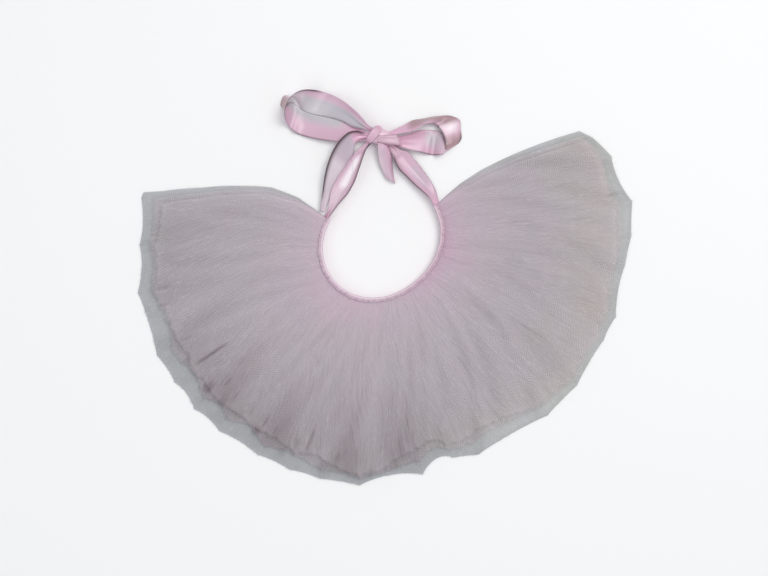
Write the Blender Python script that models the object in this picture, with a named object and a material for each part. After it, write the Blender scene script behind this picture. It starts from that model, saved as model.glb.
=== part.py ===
"""A tied ballet tutu, lying flat: three gathered tulle layers on a folded satin ribbon, tied in a bow.

The tutu lies face up on a surface at z = 0. Tables of sections are in millimetres, measured from
the middle of the waist: x to the right, y towards the bow, z up. ROW_FRAME moves that point so that
the origin is under the middle of the whole garment.
"""

import math
from collections import namedtuple

import bmesh
import bpy
from mathutils import Vector

MM = 0.001
ROW_FRAME = Vector((-3.2, 42.2, 0.0))  # where the middle of the waist lies from the origin

# Cloth and seams
WALL = 1.0  # thickness of a cloth wall
SEAM_GAP = 0.3  # clearance between pieces that are sewn or lie together
RIBBON_WIDTH = 22.0  # satin ribbon, seven eighths of an inch

# Waist: an oval whose long axis points to the upper right
WAIST_RADIUS = 52.2
WAIST_OVAL = 4.0
WAIST_LONG_AXIS = 37.0  # degrees

# Skirt: three layers, gathered together on one line of stitches
GATHERS = 60
COLUMNS_PER_GATHER = 3
HEADING_OFFSET = 2.5  # from the waist's inner edge to the gathered edge
UNDER_WALL = 1.1
GATHER_HEIGHT = 0.9
UNDER_FOLD_SHARE = 0.35  # how much of a fold's height the lowest layer takes

# The hem of the longest layer: its points, and how far it draws in after each
HemPoint = namedtuple("HemPoint", "angle radius draw_in")
HEM = [
    HemPoint(-191.5, 219.0, 0.0),
    HemPoint(-190.0, 220.3, 3.5),
    HemPoint(-179.0, 218.5, 4.0),
    HemPoint(-168.0, 225.2, 4.0),
    HemPoint(-153.0, 227.7, 2.0),
    HemPoint(-145.5, 226.3, 3.5),
    HemPoint(-138.0, 227.5, 3.2),
    HemPoint(-130.5, 226.0, 3.0),
    HemPoint(-120.0, 223.2, 2.0),
    HemPoint(-112.0, 222.8, 1.5),
    HemPoint(-104.5, 221.8, 1.8),
    HemPoint(-95.0, 221.9, 7.0),
    HemPoint(-80.0, 214.7, 7.5),
    HemPoint(-72.0, 206.0, 0.8),
    HemPoint(-65.5, 212.2, 5.0),
    HemPoint(-46.5, 217.8, 1.6),
    HemPoint(-36.5, 219.8, 2.6),
    HemPoint(-24.0, 220.0, 1.5),
    HemPoint(-18.0, 222.8, 3.5),
    HemPoint(-6.0, 221.0, 1.0),
    HemPoint(1.0, 225.7, 1.0),
    HemPoint(9.0, 229.3, 4.5),
    HemPoint(20.0, 221.4, 0.0),
    HemPoint(26.0, 212.0, 0.0),
    HemPoint(29.0, 204.0, 0.0),
]

# The two free edges of the fan: share of the way from waist to hem, and the angle of each edge
FanEdge = namedtuple("FanEdge", "share left right")
FAN_EDGES = [
    FanEdge(0.00, -202.0, 33.0),
    FanEdge(0.10, -205.5, 35.0),
    FanEdge(0.20, -207.5, 36.0),
    FanEdge(0.35, -206.0, 35.5),
    FanEdge(0.50, -201.5, 34.0),
    FanEdge(0.70, -196.5, 32.0),
    FanEdge(0.90, -192.8, 30.0),
    FanEdge(1.00, -191.5, 29.0),
]

# How the stack of layers changes from waist to hem
Drape = namedtuple("Drape", "share gather wall middle_lift top_lift")
DRAPE = [
    Drape(0.00, 1.00, 1.30, 0.3, 0.3),
    Drape(0.08, 0.95, 1.25, 0.5, 0.5),
    Drape(0.28, 0.70, 1.10, 1.6, 2.2),
    Drape(0.60, 0.50, 1.00, 1.8, 2.6),
    Drape(0.88, 0.35, 1.00, 1.2, 1.6),
    Drape(1.00, 0.30, 1.00, 1.0, 1.4),
]

# The largest folds: a ridge along a radius, between two radii
Fold = namedtuple("Fold", "angle inner outer half_width height")
FOLDS = [
    Fold(-186.0, 70.0, 235.0, 4.0, 3.0),
    Fold(-176.0, 110.0, 235.0, 3.0, 2.4),
    Fold(-167.5, 90.0, 235.0, 3.5, 3.4),
    Fold(-156.0, 120.0, 235.0, 3.0, 2.6),
    Fold(-146.0, 80.0, 235.0, 3.0, 4.0),
    Fold(-139.5, 150.0, 235.0, 2.8, 3.6),
    Fold(-131.0, 100.0, 235.0, 3.0, 3.0),
    Fold(-122.5, 130.0, 235.0, 3.0, 3.6),
    Fold(-113.5, 80.0, 235.0, 3.0, 3.0),
    Fold(-106.0, 120.0, 235.0, 2.8, 2.6),
    Fold(-97.0, 70.0, 235.0, 3.5, 3.4),
    Fold(-88.0, 110.0, 235.0, 3.0, 2.4),
    Fold(-80.0, 90.0, 235.0, 3.0, 4.0),
    Fold(-71.0, 130.0, 235.0, 3.2, 2.6),
    Fold(-62.0, 75.0, 235.0, 3.5, 3.2),
    Fold(-52.0, 120.0, 235.0, 3.0, 2.6),
    Fold(-43.0, 90.0, 235.0, 3.0, 3.0),
    Fold(-33.0, 80.0, 235.0, 3.2, 3.4),
    Fold(-24.0, 120.0, 235.0, 3.0, 2.6),
    Fold(-14.0, 90.0, 235.0, 3.2, 2.8),
    Fold(-3.0, 80.0, 235.0, 3.0, 3.6),
    Fold(7.0, 120.0, 240.0, 3.0, 3.0),
    Fold(15.0, 90.0, 240.0, 3.2, 3.4),
    Fold(23.0, 100.0, 240.0, 3.4, 2.8),
]
FOLD_RISE = 45.0  # length over which a fold rises from its inner end

# Rows of points from waist to hem. Each layer stops at its own hem.
LAYER_ROWS = {
    "tulle_under": (0.0, 0.08, 0.28, 0.60, 0.90, 1.0),
    "tulle_middle": (0.0, 0.08, 0.28, 0.60, 0.94),
    "tulle_top": (0.0, 0.08, 0.28, 0.60, 0.89),
}
HEM_WANDER = 0.012  # how unevenly the shorter layers are trimmed, as a share of the drop

# The waistband's section: the ribbon folded over the gathers, from its inner foot to its outer edge
BandPoint = namedtuple("BandPoint", "out z")
BAND = [
    BandPoint(1.60, 0.10),
    BandPoint(0.95, 4.50),
    BandPoint(0.60, 8.60),
    BandPoint(1.05, 9.90),
    BandPoint(2.15, 10.30),
    BandPoint(3.30, 9.40),
    BandPoint(4.60, 7.60),
    BandPoint(6.60, 6.60),
]
BAND_STEPS = 76
BAND_FROM, BAND_TO = -202.5, 33.5  # degrees

# Ribbon sections: the ribbon's low edge, its high edge in plan, how wide it is spread between them,
# and how far it arches over. The high edge's height follows from the spread.
Section = namedtuple("Section", "low_x low_y low_z high_x high_y spread arch")
TIE_LEFT = [
    Section(-51.3, 21.9, 1.0, -47.4, 20.3, 10.0, 0.2),
    Section(-47.6, 28.8, 3.5, -43.2, 25.7, 9.6, 1.0),
    Section(-46.4, 38.7, 5.0, -36.9, 33.8, 12.0, 2.5),
    Section(-44.1, 47.3, 6.2, -29.7, 42.3, 16.0, 3.5),
    Section(-39.6, 55.8, 6.8, -23.9, 52.6, 16.6, 4.0),
    Section(-33.8, 64.4, 7.2, -19.8, 63.9, 14.6, 4.0),
    Section(-26.1, 74.2, 7.4, -16.7, 74.2, 10.0, 3.0),
    Section(-20.3, 80.5, 7.5, -13.5, 82.8, 7.6, 2.0),
    Section(-14.0, 87.0, 7.6, -9.0, 87.5, 5.4, 1.0),
    Section(-11.0, 92.0, 8.0, -7.5, 92.0, 4.0, 0.5),
]
TIE_RIGHT = [
    Section(52.1, 35.3, 1.0, 47.7, 32.3, 10.4, 0.2),
    Section(50.7, 41.4, 1.6, 42.8, 38.3, 11.6, -1.0),
    Section(47.3, 49.5, 2.0, 36.0, 44.6, 13.6, -2.0),
    Section(41.9, 58.1, 2.4, 28.8, 50.9, 15.6, -3.0),
    Section(35.1, 67.1, 2.8, 21.6, 58.1, 16.6, -3.0),
    Section(28.4, 75.2, 3.2, 15.8, 63.9, 17.2, -2.6),
    Section(23.4, 80.5, 3.4, 12.2, 70.7, 15.0, -2.0),
    Section(17.1, 82.4, 3.6, 9.6, 78.3, 8.8, -1.0),
    Section(10.4, 88.2, 4.6, 4.5, 85.5, 6.6, -0.5),
]
TAIL_LEFT = [
    Section(-9.9, 92.0, 11.0, -10.0, 96.3, 4.8, 0.5),
    Section(-15.8, 91.4, 10.0, -16.2, 96.8, 6.0, 1.0),
    Section(-20.3, 90.0, 10.6, -22.1, 98.1, 9.0, 1.2),
    Section(-23.9, 86.4, 10.4, -28.4, 97.2, 12.6, 1.4),
    Section(-26.1, 81.0, 8.4, -34.7, 92.7, 15.6, 1.4),
    Section(-28.4, 73.4, 4.0, -40.5, 86.0, 20.0, 1.4),
    Section(-30.6, 64.8, 1.4, -45.0, 77.9, 22.0, 0.8),
    Section(-34.2, 55.4, 1.2, -48.6, 68.0, 21.4, 0.8),
    Section(-40.0, 46.5, 1.2, -51.1, 57.2, 18.0, 1.2),
    Section(-45.2, 38.8, 1.2, -52.6, 46.8, 13.0, 1.6),
    Section(-48.2, 33.0, 1.2, -53.6, 37.4, 8.6, 1.2),
    Section(-49.8, 30.4, 1.2, -54.0, 29.6, 5.4, 0.8),
]
TAIL_RIGHT = [
    Section(3.6, 89.1, 8.6, -3.6, 90.9, 7.6, -1.0),
    Section(7.2, 81.9, 7.6, -1.8, 84.6, 9.6, -2.0),
    Section(9.4, 74.7, 4.6, -1.5, 77.4, 11.4, -3.0),
    Section(10.3, 66.6, 2.2, -0.5, 69.3, 11.4, -3.8),
    Section(11.3, 59.0, 1.2, 2.3, 62.1, 9.8, -4.2),
    Section(12.8, 51.3, 0.8, 5.0, 56.3, 9.4, -4.0),
]
LOOP_LEFT = [
    Section(-11.5, 96.2, 4.6, -11.5, 91.5, 5.6, -0.4),
    Section(-22.5, 98.6, 3.2, -22.5, 89.1, 10.6, -0.6),
    Section(-39.6, 106.0, 0.9, -41.4, 89.1, 20.0, -1.2),
    Section(-57.2, 108.8, 0.7, -61.2, 92.0, 21.6, -1.4),
    Section(-73.3, 110.0, 0.7, -77.9, 97.6, 22.0, -0.8),
    Section(-84.8, 113.2, 0.7, -85.6, 106.5, 22.0, 0.0),
    Section(-90.4, 121.5, 0.7, -86.0, 117.0, 22.0, 0.6),
    Section(-87.6, 130.6, 0.7, -81.5, 126.8, 22.0, 0.8),
    Section(-76.5, 134.6, 0.7, -72.9, 132.2, 22.0, 0.5),
    Section(-64.5, 131.6, 0.7, -61.5, 134.9, 22.0, 0.0),
    Section(-54.0, 124.0, 0.7, -49.5, 133.6, 22.0, -0.8),
    Section(-44.5, 115.0, 0.7, -36.0, 126.4, 20.6, -1.2),
    Section(-35.0, 108.6, 0.8, -25.6, 118.4, 17.4, -1.2),
    Section(-26.0, 104.4, 2.4, -18.2, 111.2, 13.0, -0.8),
    Section(-17.6, 101.4, 5.0, -13.6, 104.4, 7.0, -0.4),
    Section(-9.0, 98.0, 7.6, -7.8, 99.6, 4.0, 0.0),
]
LOOP_RIGHT = [
    Section(9.0, 92.3, 5.6, 9.0, 87.3, 5.4, -0.4),
    Section(18.9, 92.7, 4.2, 18.2, 84.0, 9.8, -0.8),
    Section(34.2, 97.2, 1.0, 32.4, 80.1, 19.4, -0.8),
    Section(42.8, 96.6, 0.7, 40.5, 78.2, 22.0, -0.4),
    Section(51.0, 94.2, 0.7, 48.6, 77.0, 22.0, 0.0),
    Section(59.8, 89.4, 0.7, 54.4, 79.4, 21.6, 0.0),
    Section(67.2, 90.8, 0.7, 56.9, 87.4, 22.0, 0.0),
    Section(70.6, 98.4, 0.7, 55.4, 95.2, 22.0, 0.0),
    Section(68.2, 106.4, 0.7, 51.5, 101.4, 22.0, 0.0),
    Section(60.3, 111.0, 0.7, 46.6, 105.2, 21.0, 0.4),
    Section(47.3, 111.4, 0.8, 39.6, 104.6, 17.6, 0.8),
    Section(36.9, 110.5, 1.2, 33.3, 100.6, 15.2, 0.8),
    Section(27.9, 108.9, 2.2, 27.0, 98.2, 14.0, 0.8),
    Section(18.9, 104.0, 4.0, 20.3, 96.6, 10.2, 0.6),
    Section(6.5, 97.8, 7.4, 8.0, 94.2, 5.0, 0.3),
]
RIBBONS = {
    "tie_left": TIE_LEFT,
    "tie_right": TIE_RIGHT,
    "tail_left": TAIL_LEFT,
    "tail_right": TAIL_RIGHT,
    "loop_left": LOOP_LEFT,
    "loop_right": LOOP_RIGHT,
}
RIBBON_ACROSS = 4  # faces across a ribbon
RIBBON_STEPS = 3  # faces between one section and the next

# The knot, along its length from the left loop to the right one
KnotSection = namedtuple("KnotSection", "along centre_y half_y centre_z half_z")
KNOT = [
    KnotSection(-1.0, 93.0, 6.0, 9.0, 5.4),
    KnotSection(-0.5, 94.0, 8.0, 8.8, 7.2),
    KnotSection(0.0, 93.4, 7.8, 8.4, 6.8),
    KnotSection(0.5, 91.4, 7.2, 7.6, 5.6),
    KnotSection(1.0, 90.4, 6.4, 7.6, 5.0),
]
KNOT_LEFT, KNOT_RIGHT = -15.0, 17.0
KNOT_SEGMENTS, KNOT_RINGS = 16, 12

Cloth = namedtuple("Cloth", "color roughness")
TULLE = Cloth((0.86, 0.74, 0.80, 1.0), 0.75)
SATIN = Cloth((0.88, 0.62, 0.74, 1.0), 0.32)


def waist_radius(angle):
    """Radius of the waist's inner edge at an angle in degrees."""
    return WAIST_RADIUS + WAIST_OVAL * math.cos(math.radians(2 * (angle - WAIST_LONG_AXIS)))


def polar(angle, radius, z):
    """A point in the row frame, in millimetres, from an angle and a radius round the waist."""
    turn = math.radians(angle)
    return ROW_FRAME + Vector((radius * math.cos(turn), radius * math.sin(turn), z))


def between(table, key, value):
    """A row of a table, interpolated in a straight line at a value of its key column."""
    rows = [row for row in zip(table, table[1:]) if getattr(row[1], key) >= value]
    low, high = rows[0] if rows else (table[-2], table[-1])
    span = getattr(high, key) - getattr(low, key)
    t = min(1.0, max(0.0, (value - getattr(low, key)) / span))
    return type(low)(*(a + (b - a) * t for a, b in zip(low, high)))


def hem_radius(angle):
    """Radius of the longest layer's hem: a shallow arc drawn in between each point and the next."""
    angle = min(HEM[-1].angle, max(HEM[0].angle, angle))
    for start, end in zip(HEM, HEM[1:]):
        if angle <= end.angle:
            break
    t = (angle - start.angle) / (end.angle - start.angle)
    straight = start.radius + (end.radius - start.radius) * t
    return straight - start.draw_in * math.sin(math.pi * t) ** 0.7


def gather_height(column, share):
    """Height of the gathers at a column of points: one ridge for each gather, of uneven size."""
    if column % COLUMNS_PER_GATHER:
        return 0.0
    gather = column // COLUMNS_PER_GATHER
    uneven = 0.8 + 0.2 * math.sin(5.3 * gather)
    return GATHER_HEIGHT * uneven * between(DRAPE, "share", share).gather


def fold_height(angle, radius):
    """Height of the large folds at a place on the skirt."""
    height = 0.0
    for fold in FOLDS:
        aside = abs(angle - fold.angle) / fold.half_width
        if aside < 1.0 and radius > fold.inner:
            rise = min(1.0, (radius - fold.inner) / FOLD_RISE)
            height += fold.height * rise * math.cos(aside * math.pi / 2) ** 2
    return height


def skirt_place(column, share):
    """Angle and radius of a point of the skirt, from its column and its share of the drop."""
    edge = between(FAN_EDGES, "share", share)
    across = column / (GATHERS * COLUMNS_PER_GATHER)
    angle = edge.left + (edge.right - edge.left) * across
    inner = waist_radius(angle) + HEADING_OFFSET
    return angle, inner + (hem_radius(angle) - inner) * share


def layer_heights(layer, column, share):
    """Height of a layer's lower and upper side. Each layer lies on the one below it."""
    angle, radius = skirt_place(column, share)
    drape = between(DRAPE, "share", share)
    folds = fold_height(angle, radius)
    under_top = UNDER_WALL + gather_height(column, share) + UNDER_FOLD_SHARE * folds
    middle_low = under_top + drape.middle_lift
    top_low = middle_low + drape.wall + drape.top_lift + (1 - UNDER_FOLD_SHARE) * folds
    return {
        "tulle_under": (0.0, under_top),
        "tulle_middle": (middle_low, middle_low + drape.wall),
        "tulle_top": (top_low, top_low + drape.wall),
    }[layer]


def trimmed(layer, column, share):
    """A row's share of the drop, uneven at the hem of the two shorter layers."""
    if layer == "tulle_under" or share < LAYER_ROWS[layer][-1]:
        return share
    phase = 0.0 if layer == "tulle_middle" else 2.0
    across = column / (GATHERS * COLUMNS_PER_GATHER)
    wander = math.sin(61 * across + phase) + 0.6 * math.sin(143 * across + 2 * phase)
    return share + HEM_WANDER * wander


def finish(name, mesh, cloth):
    """Makes the object of a mesh, smooth with sharp rims, in its cloth's material."""
    material = bpy.data.materials.new(name)
    material.use_nodes = True
    shader = material.node_tree.nodes["Principled BSDF"]
    shader.inputs["Base Color"].default_value = cloth.color
    shader.inputs["Roughness"].default_value = cloth.roughness
    mesh.materials.append(material)
    mesh.shade_smooth()
    mesh.set_sharp_from_angle(angle=math.radians(50))
    piece = bpy.data.objects.new(name, mesh)
    bpy.context.scene.collection.objects.link(piece)
    return piece


def grid_of(columns, rows, place):
    """A bmesh grid of columns by rows of points, each put where place(column, row) says, in mm."""
    sheet = bmesh.new()
    bmesh.ops.create_grid(sheet, x_segments=columns - 1, y_segments=rows - 1, size=1.0)
    for vertex in sheet.verts:
        column = round((vertex.co.x + 1) / 2 * (columns - 1))
        row = round((vertex.co.y + 1) / 2 * (rows - 1))
        vertex.co = place(column, row) * MM
    return sheet


def mesh_from(sheet, name):
    """Turns a bmesh into a mesh with its normals pointing out."""
    bmesh.ops.recalc_face_normals(sheet, faces=sheet.faces)
    mesh = bpy.data.meshes.new(name)
    sheet.to_mesh(mesh)
    sheet.free()
    return mesh


def tulle_layer(name):
    """A layer of the skirt: its upper side as a grid, drawn down to its lower side as a closed wall."""
    rows = LAYER_ROWS[name]
    columns = GATHERS * COLUMNS_PER_GATHER + 1

    def upper(column, row):
        share = trimmed(name, column, rows[row])
        angle, radius = skirt_place(column, share)
        return polar(angle, radius, layer_heights(name, column, share)[1])

    sheet = grid_of(columns, len(rows), upper)
    lower_z = {}
    for vertex in sheet.verts:
        lower_z[vertex.index] = vertex.co.z
    depth = sheet.verts.layers.float.new("depth")
    index = 0
    for vertex in sheet.verts:
        column, row = index % columns, index // columns
        low, high = layer_heights(name, column, trimmed(name, column, rows[row]))
        vertex[depth] = (high - low) * MM
        index += 1
    drawn = bmesh.ops.extrude_face_region(sheet, geom=sheet.faces[:])
    for element in drawn["geom"]:
        if isinstance(element, bmesh.types.BMVert):
            element.co.z -= element[depth]
    return finish(name, mesh_from(sheet, name), TULLE)


def waistband():
    """The ribbon folded over the gathers, swept round the waist."""

    def place(column, row):
        angle = BAND_FROM + (BAND_TO - BAND_FROM) * column / BAND_STEPS
        return polar(angle, waist_radius(angle) + BAND[row].out, BAND[row].z)

    sheet = grid_of(BAND_STEPS + 1, len(BAND), place)
    band = finish("waistband", mesh_from(sheet, "waistband"), SATIN)
    thicken(band)
    return band


def thicken(piece):
    """Gives a sheet its wall, half to each side."""
    wall = piece.modifiers.new("wall", "SOLIDIFY")
    wall.thickness = WALL * MM
    wall.offset = 0.0
    wall.use_rim = True


def smooth_row(table, place):
    """A row at a fractional place in a table, on a smooth curve through its rows."""
    start = min(int(place), len(table) - 2)
    t = place - start
    near = [table[min(max(start + k, 0), len(table) - 1)] for k in (-1, 0, 1, 2)]
    values = []
    for a, b, c, d in zip(*near):
        values.append(
            b
            + 0.5 * t * (c - a)
            + t * t * (a - 2.5 * b + 2 * c - 0.5 * d)
            + t**3 * (-0.5 * a + 1.5 * b - 1.5 * c + 0.5 * d)
        )
    return type(table[0])(*values)


def ribbon_edges(section):
    """The low and the high edge of a section. The high one's height comes from the spread."""
    low = Vector((section.low_x, section.low_y, section.low_z))
    high = Vector((section.high_x, section.high_y, section.low_z))
    plan = (high - low).length
    high.z += math.sqrt(max(0.0, section.spread**2 - plan**2))
    return low, high


def ribbon(name, table, knot_space):
    """A ribbon through its sections, arched across, with its root cut clear of the knot."""
    steps = (len(table) - 1) * RIBBON_STEPS

    def place(column, row):
        where = row / RIBBON_STEPS
        section = smooth_row(table, where)
        low, high = ribbon_edges(section)
        before, _ = ribbon_edges(smooth_row(table, max(0.0, where - 0.2)))
        after, _ = ribbon_edges(smooth_row(table, min(len(table) - 1.0, where + 0.2)))
        out = (after - before).cross(high - low).normalized()
        t = column / RIBBON_ACROSS
        return ROW_FRAME + low.lerp(high, t) + out * section.arch * math.sin(math.pi * t)

    sheet = grid_of(RIBBON_ACROSS + 1, steps + 1, place)
    piece = finish(name, mesh_from(sheet, name), SATIN)
    thicken(piece)
    cut = piece.modifiers.new("knot_space", "BOOLEAN")
    cut.object = knot_space
    cut.operation = "DIFFERENCE"
    cut.solver = "EXACT"
    return piece


def knot(name, grow):
    """The knot as one rounded body, or grown a little, to cut its clearance."""
    body = bmesh.new()
    bmesh.ops.create_uvsphere(body, u_segments=KNOT_SEGMENTS, v_segments=KNOT_RINGS, radius=1.0)
    for vertex in body.verts:
        along, aside, up = vertex.co.z, vertex.co.x, vertex.co.y
        section = between(KNOT, "along", along)
        middle, half = (KNOT_LEFT + KNOT_RIGHT) / 2, (KNOT_RIGHT - KNOT_LEFT) / 2
        vertex.co = MM * (
            ROW_FRAME
            + Vector(
                (
                    middle + along * (half + grow),
                    section.centre_y + aside * (section.half_y + grow),
                    section.centre_z + up * (section.half_z + grow),
                )
            )
        )
    return finish(name, mesh_from(body, name), SATIN)


def main():
    for old in list(bpy.data.objects):
        bpy.data.objects.remove(old)
    for name in LAYER_ROWS:
        tulle_layer(name)
    waistband()
    knot("knot", 0.0)
    knot_space = knot("knot_space", SEAM_GAP)
    knot_space.hide_render = True
    knot_space.display_type = "WIRE"
    for name, table in RIBBONS.items():
        ribbon(name, table, knot_space)


main()
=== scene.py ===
# %% [markdown]
# # A ballet tutu, tied in a bow
#
# The real garment is a small one. Three strips of tulle are gathered on one line of stitches,
# the gathered edge is closed into a folded satin ribbon, and the ribbon's two ends are tied in a
# bow. It lies flat and fanned out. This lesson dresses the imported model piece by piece. The
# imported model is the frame: nothing in it moves, and each new piece stands for one of its nodes.

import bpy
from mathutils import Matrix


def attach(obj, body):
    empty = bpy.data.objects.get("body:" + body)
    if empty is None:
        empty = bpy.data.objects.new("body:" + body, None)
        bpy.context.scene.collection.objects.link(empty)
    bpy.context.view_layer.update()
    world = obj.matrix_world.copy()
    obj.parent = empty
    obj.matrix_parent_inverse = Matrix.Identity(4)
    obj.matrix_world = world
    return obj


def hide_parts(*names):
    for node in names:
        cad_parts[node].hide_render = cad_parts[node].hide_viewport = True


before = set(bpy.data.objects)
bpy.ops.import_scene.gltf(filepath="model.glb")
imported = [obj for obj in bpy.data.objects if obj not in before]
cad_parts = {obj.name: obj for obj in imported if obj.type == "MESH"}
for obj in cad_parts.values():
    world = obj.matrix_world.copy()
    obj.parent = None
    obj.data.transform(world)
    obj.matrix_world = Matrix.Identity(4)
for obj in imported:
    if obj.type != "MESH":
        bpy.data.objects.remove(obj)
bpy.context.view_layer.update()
print("nodes:", sorted(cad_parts))

# %% Modules and units
import math
from collections import namedtuple

import bmesh
import bpy
import numpy as np
from mathutils import Matrix, Vector

MM = 0.001
WAIST_MIDDLE = Vector((-3.2, 42.2, 0.0))  # mm from the origin; tables are measured from here
print("the middle of the waist lies at", tuple(WAIST_MIDDLE), "mm")

# %% [markdown]
# ## The camera, the floor and the light
#
# The tutu is seen from straight above. The camera comes first, so that every later piece can be
# judged through it. The floor is a plain pale sheet. One large soft lamp stands to the upper
# right and does most of the work, because satin and net show their folds by how the light falls
# off. A second, weaker one on the other side keeps the shadows open.

# %% Place the camera
VIEW_WIDTH = 0.6912  # metres of floor that the camera sees from left to right
CAMERA_HEIGHT = 1.7
NET_HEIGHT = 0.006  # the width is measured at this height, half way up the net
CAMERA_X, CAMERA_Y = -0.0009, -0.0005
SENSOR_WIDTH = 36.0

camera_data = bpy.data.cameras.new("camera")
camera_data.sensor_width = SENSOR_WIDTH
camera_data.lens = SENSOR_WIDTH * (CAMERA_HEIGHT - NET_HEIGHT) / VIEW_WIDTH
camera = bpy.data.objects.new("camera", camera_data)
camera.location = (CAMERA_X, CAMERA_Y, CAMERA_HEIGHT)
bpy.context.collection.objects.link(camera)
bpy.context.scene.camera = camera
print(f"camera at {CAMERA_HEIGHT} m with a {camera_data.lens:.0f} mm lens")

# %% Lay the floor
FLOOR_SIZE = 6.0
FLOOR_COLOR, FLOOR_ROUGHNESS = (0.975, 0.975, 0.975), 0.9


def plain_material(name, color, roughness):
    """A Principled material in one colour."""
    material = bpy.data.materials.new(name)
    material.use_nodes = True
    shader = material.node_tree.nodes["Principled BSDF"]
    shader.inputs["Base Color"].default_value = (*color, 1.0)
    shader.inputs["Roughness"].default_value = roughness
    return material


floor_mesh = bmesh.new()
bmesh.ops.create_grid(floor_mesh, x_segments=1, y_segments=1, size=FLOOR_SIZE / 2)
floor_data = bpy.data.meshes.new("floor")
floor_mesh.to_mesh(floor_data)
floor_mesh.free()
floor_data.materials.append(plain_material("pale_floor", FLOOR_COLOR, FLOOR_ROUGHNESS))
floor = bpy.data.objects.new("floor", floor_data)
bpy.context.collection.objects.link(floor)
print("floor of", FLOOR_SIZE, "m")

# %% Hang the lamps
Lamp = namedtuple("Lamp", "name x y z size watts color")
LAMPS = [
    Lamp("key_lamp", 0.75, 0.67, 1.9, 1.2, 19.8, (1.0, 0.985, 0.96)),
    Lamp("fill_lamp", -1.3, -0.6, 1.6, 1.6, 6.8, (0.95, 0.97, 1.0)),
]
SKY_COLOR, SKY_STRENGTH = (0.95, 0.97, 1.0, 1.0), 0.55
NET_CROSSINGS = 32  # how many sheets of net one ray may pass

for lamp in LAMPS:
    light_data = bpy.data.lights.new(lamp.name, "AREA")
    light_data.size = lamp.size
    light_data.energy = lamp.watts
    light_data.color = lamp.color
    light = bpy.data.objects.new(lamp.name, light_data)
    light.location = (lamp.x, lamp.y, lamp.z)
    light.rotation_euler = (-light.location).to_track_quat("-Z", "Y").to_euler()
    bpy.context.collection.objects.link(light)

world = bpy.data.worlds.new("studio")
world.use_nodes = True
sky = world.node_tree.nodes["Background"]
sky.inputs["Color"].default_value = SKY_COLOR
sky.inputs["Strength"].default_value = SKY_STRENGTH
bpy.context.scene.world = world
bpy.context.scene.view_settings.view_transform = "Standard"
bpy.context.scene.cycles.transparent_max_bounces = NET_CROSSINGS
print("lamps:", [lamp.name for lamp in LAMPS])

# %% [markdown]
# ## The pattern of the skirt
#
# A gathered skirt that is laid flat is a fan. Each place on it has two numbers: how far across
# the strip it is, from one free edge to the other, and its share of the drop, from the gathered
# edge to the hem. The tables below turn those two numbers into an angle and a radius round the
# waist. Angles are in degrees from the right, and grow towards the bow.

# %% The waist and the free edges
WAIST_RADIUS = 51.0  # mm, as all lengths in the tables are
WAIST_OVAL = 4.0  # how much the radius grows and shrinks round the oval
WAIST_LONG_AXIS = 40.0
HEADING_OFFSET = 2.5  # the net starts this far outside the waist's inner edge

FanEdge = namedtuple("FanEdge", "share left right")
FAN_EDGES = [
    FanEdge(0.00, -202.0, 33.0),
    FanEdge(0.10, -205.5, 35.0),
    FanEdge(0.20, -207.5, 36.0),
    FanEdge(0.35, -206.0, 35.5),
    FanEdge(0.50, -201.5, 34.0),
    FanEdge(0.70, -196.5, 32.0),
    FanEdge(0.90, -192.8, 30.0),
    FanEdge(1.00, -191.5, 29.0),
]


def column(table, name):
    """One named column of a table, as an array."""
    return np.array([getattr(row, name) for row in table])


def read(table, key, name, value):
    """A named column's value where the key column has a value, on straight lines between rows."""
    return np.interp(value, column(table, key), column(table, name))


def waist_radius(angle):
    """Radius of the waist's inner edge at an angle."""
    return WAIST_RADIUS + WAIST_OVAL * np.cos(np.radians(2 * (angle - WAIST_LONG_AXIS)))


waist_length, waist_width = (2 * waist_radius(WAIST_LONG_AXIS + turn) for turn in (0, 90))
print(f"waist {waist_length:.0f} mm long and {waist_width:.0f} mm wide")

# %% The hem
HemPoint = namedtuple("HemPoint", "angle radius draw_in")
HEM = [
    HemPoint(-191.5, 219.0, 0.0),
    HemPoint(-190.0, 220.3, 3.5),
    HemPoint(-179.0, 218.5, 4.0),
    HemPoint(-168.0, 225.2, 4.0),
    HemPoint(-153.0, 227.7, 2.0),
    HemPoint(-145.5, 226.3, 3.5),
    HemPoint(-138.0, 227.5, 3.2),
    HemPoint(-130.5, 226.0, 3.0),
    HemPoint(-120.0, 223.2, 2.0),
    HemPoint(-112.0, 222.8, 1.5),
    HemPoint(-104.5, 221.8, 1.8),
    HemPoint(-95.0, 221.9, 7.0),
    HemPoint(-80.0, 214.7, 7.5),
    HemPoint(-72.0, 206.0, 0.8),
    HemPoint(-65.5, 212.2, 5.0),
    HemPoint(-46.5, 217.8, 1.6),
    HemPoint(-36.5, 219.8, 2.6),
    HemPoint(-24.0, 220.0, 1.5),
    HemPoint(-18.0, 222.8, 3.5),
    HemPoint(-6.0, 221.0, 1.0),
    HemPoint(1.0, 225.7, 1.0),
    HemPoint(9.0, 229.3, 4.5),
    HemPoint(20.0, 221.4, 0.0),
    HemPoint(26.0, 212.0, 0.0),
    HemPoint(29.0, 204.0, 0.0),
]
DIP_SHAPE = 0.7  # below 1, the hem draws in fast beside each point


def hem_radius(angle):
    """Radius of the longest layer's hem: it draws in a little between each point and the next."""
    angles = column(HEM, "angle")
    angle = np.clip(angle, angles[0], angles[-1])
    start = np.clip(np.searchsorted(angles, angle) - 1, 0, len(HEM) - 2)
    t = (angle - angles[start]) / (angles[start + 1] - angles[start])
    dip = column(HEM, "draw_in")[start] * np.sin(np.pi * np.clip(t, 0, 1)) ** DIP_SHAPE
    return np.interp(angle, angles, column(HEM, "radius")) - dip


print(f"hem {hem_radius(np.array([-90.0]))[0]:.0f} mm out at the back")

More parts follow.
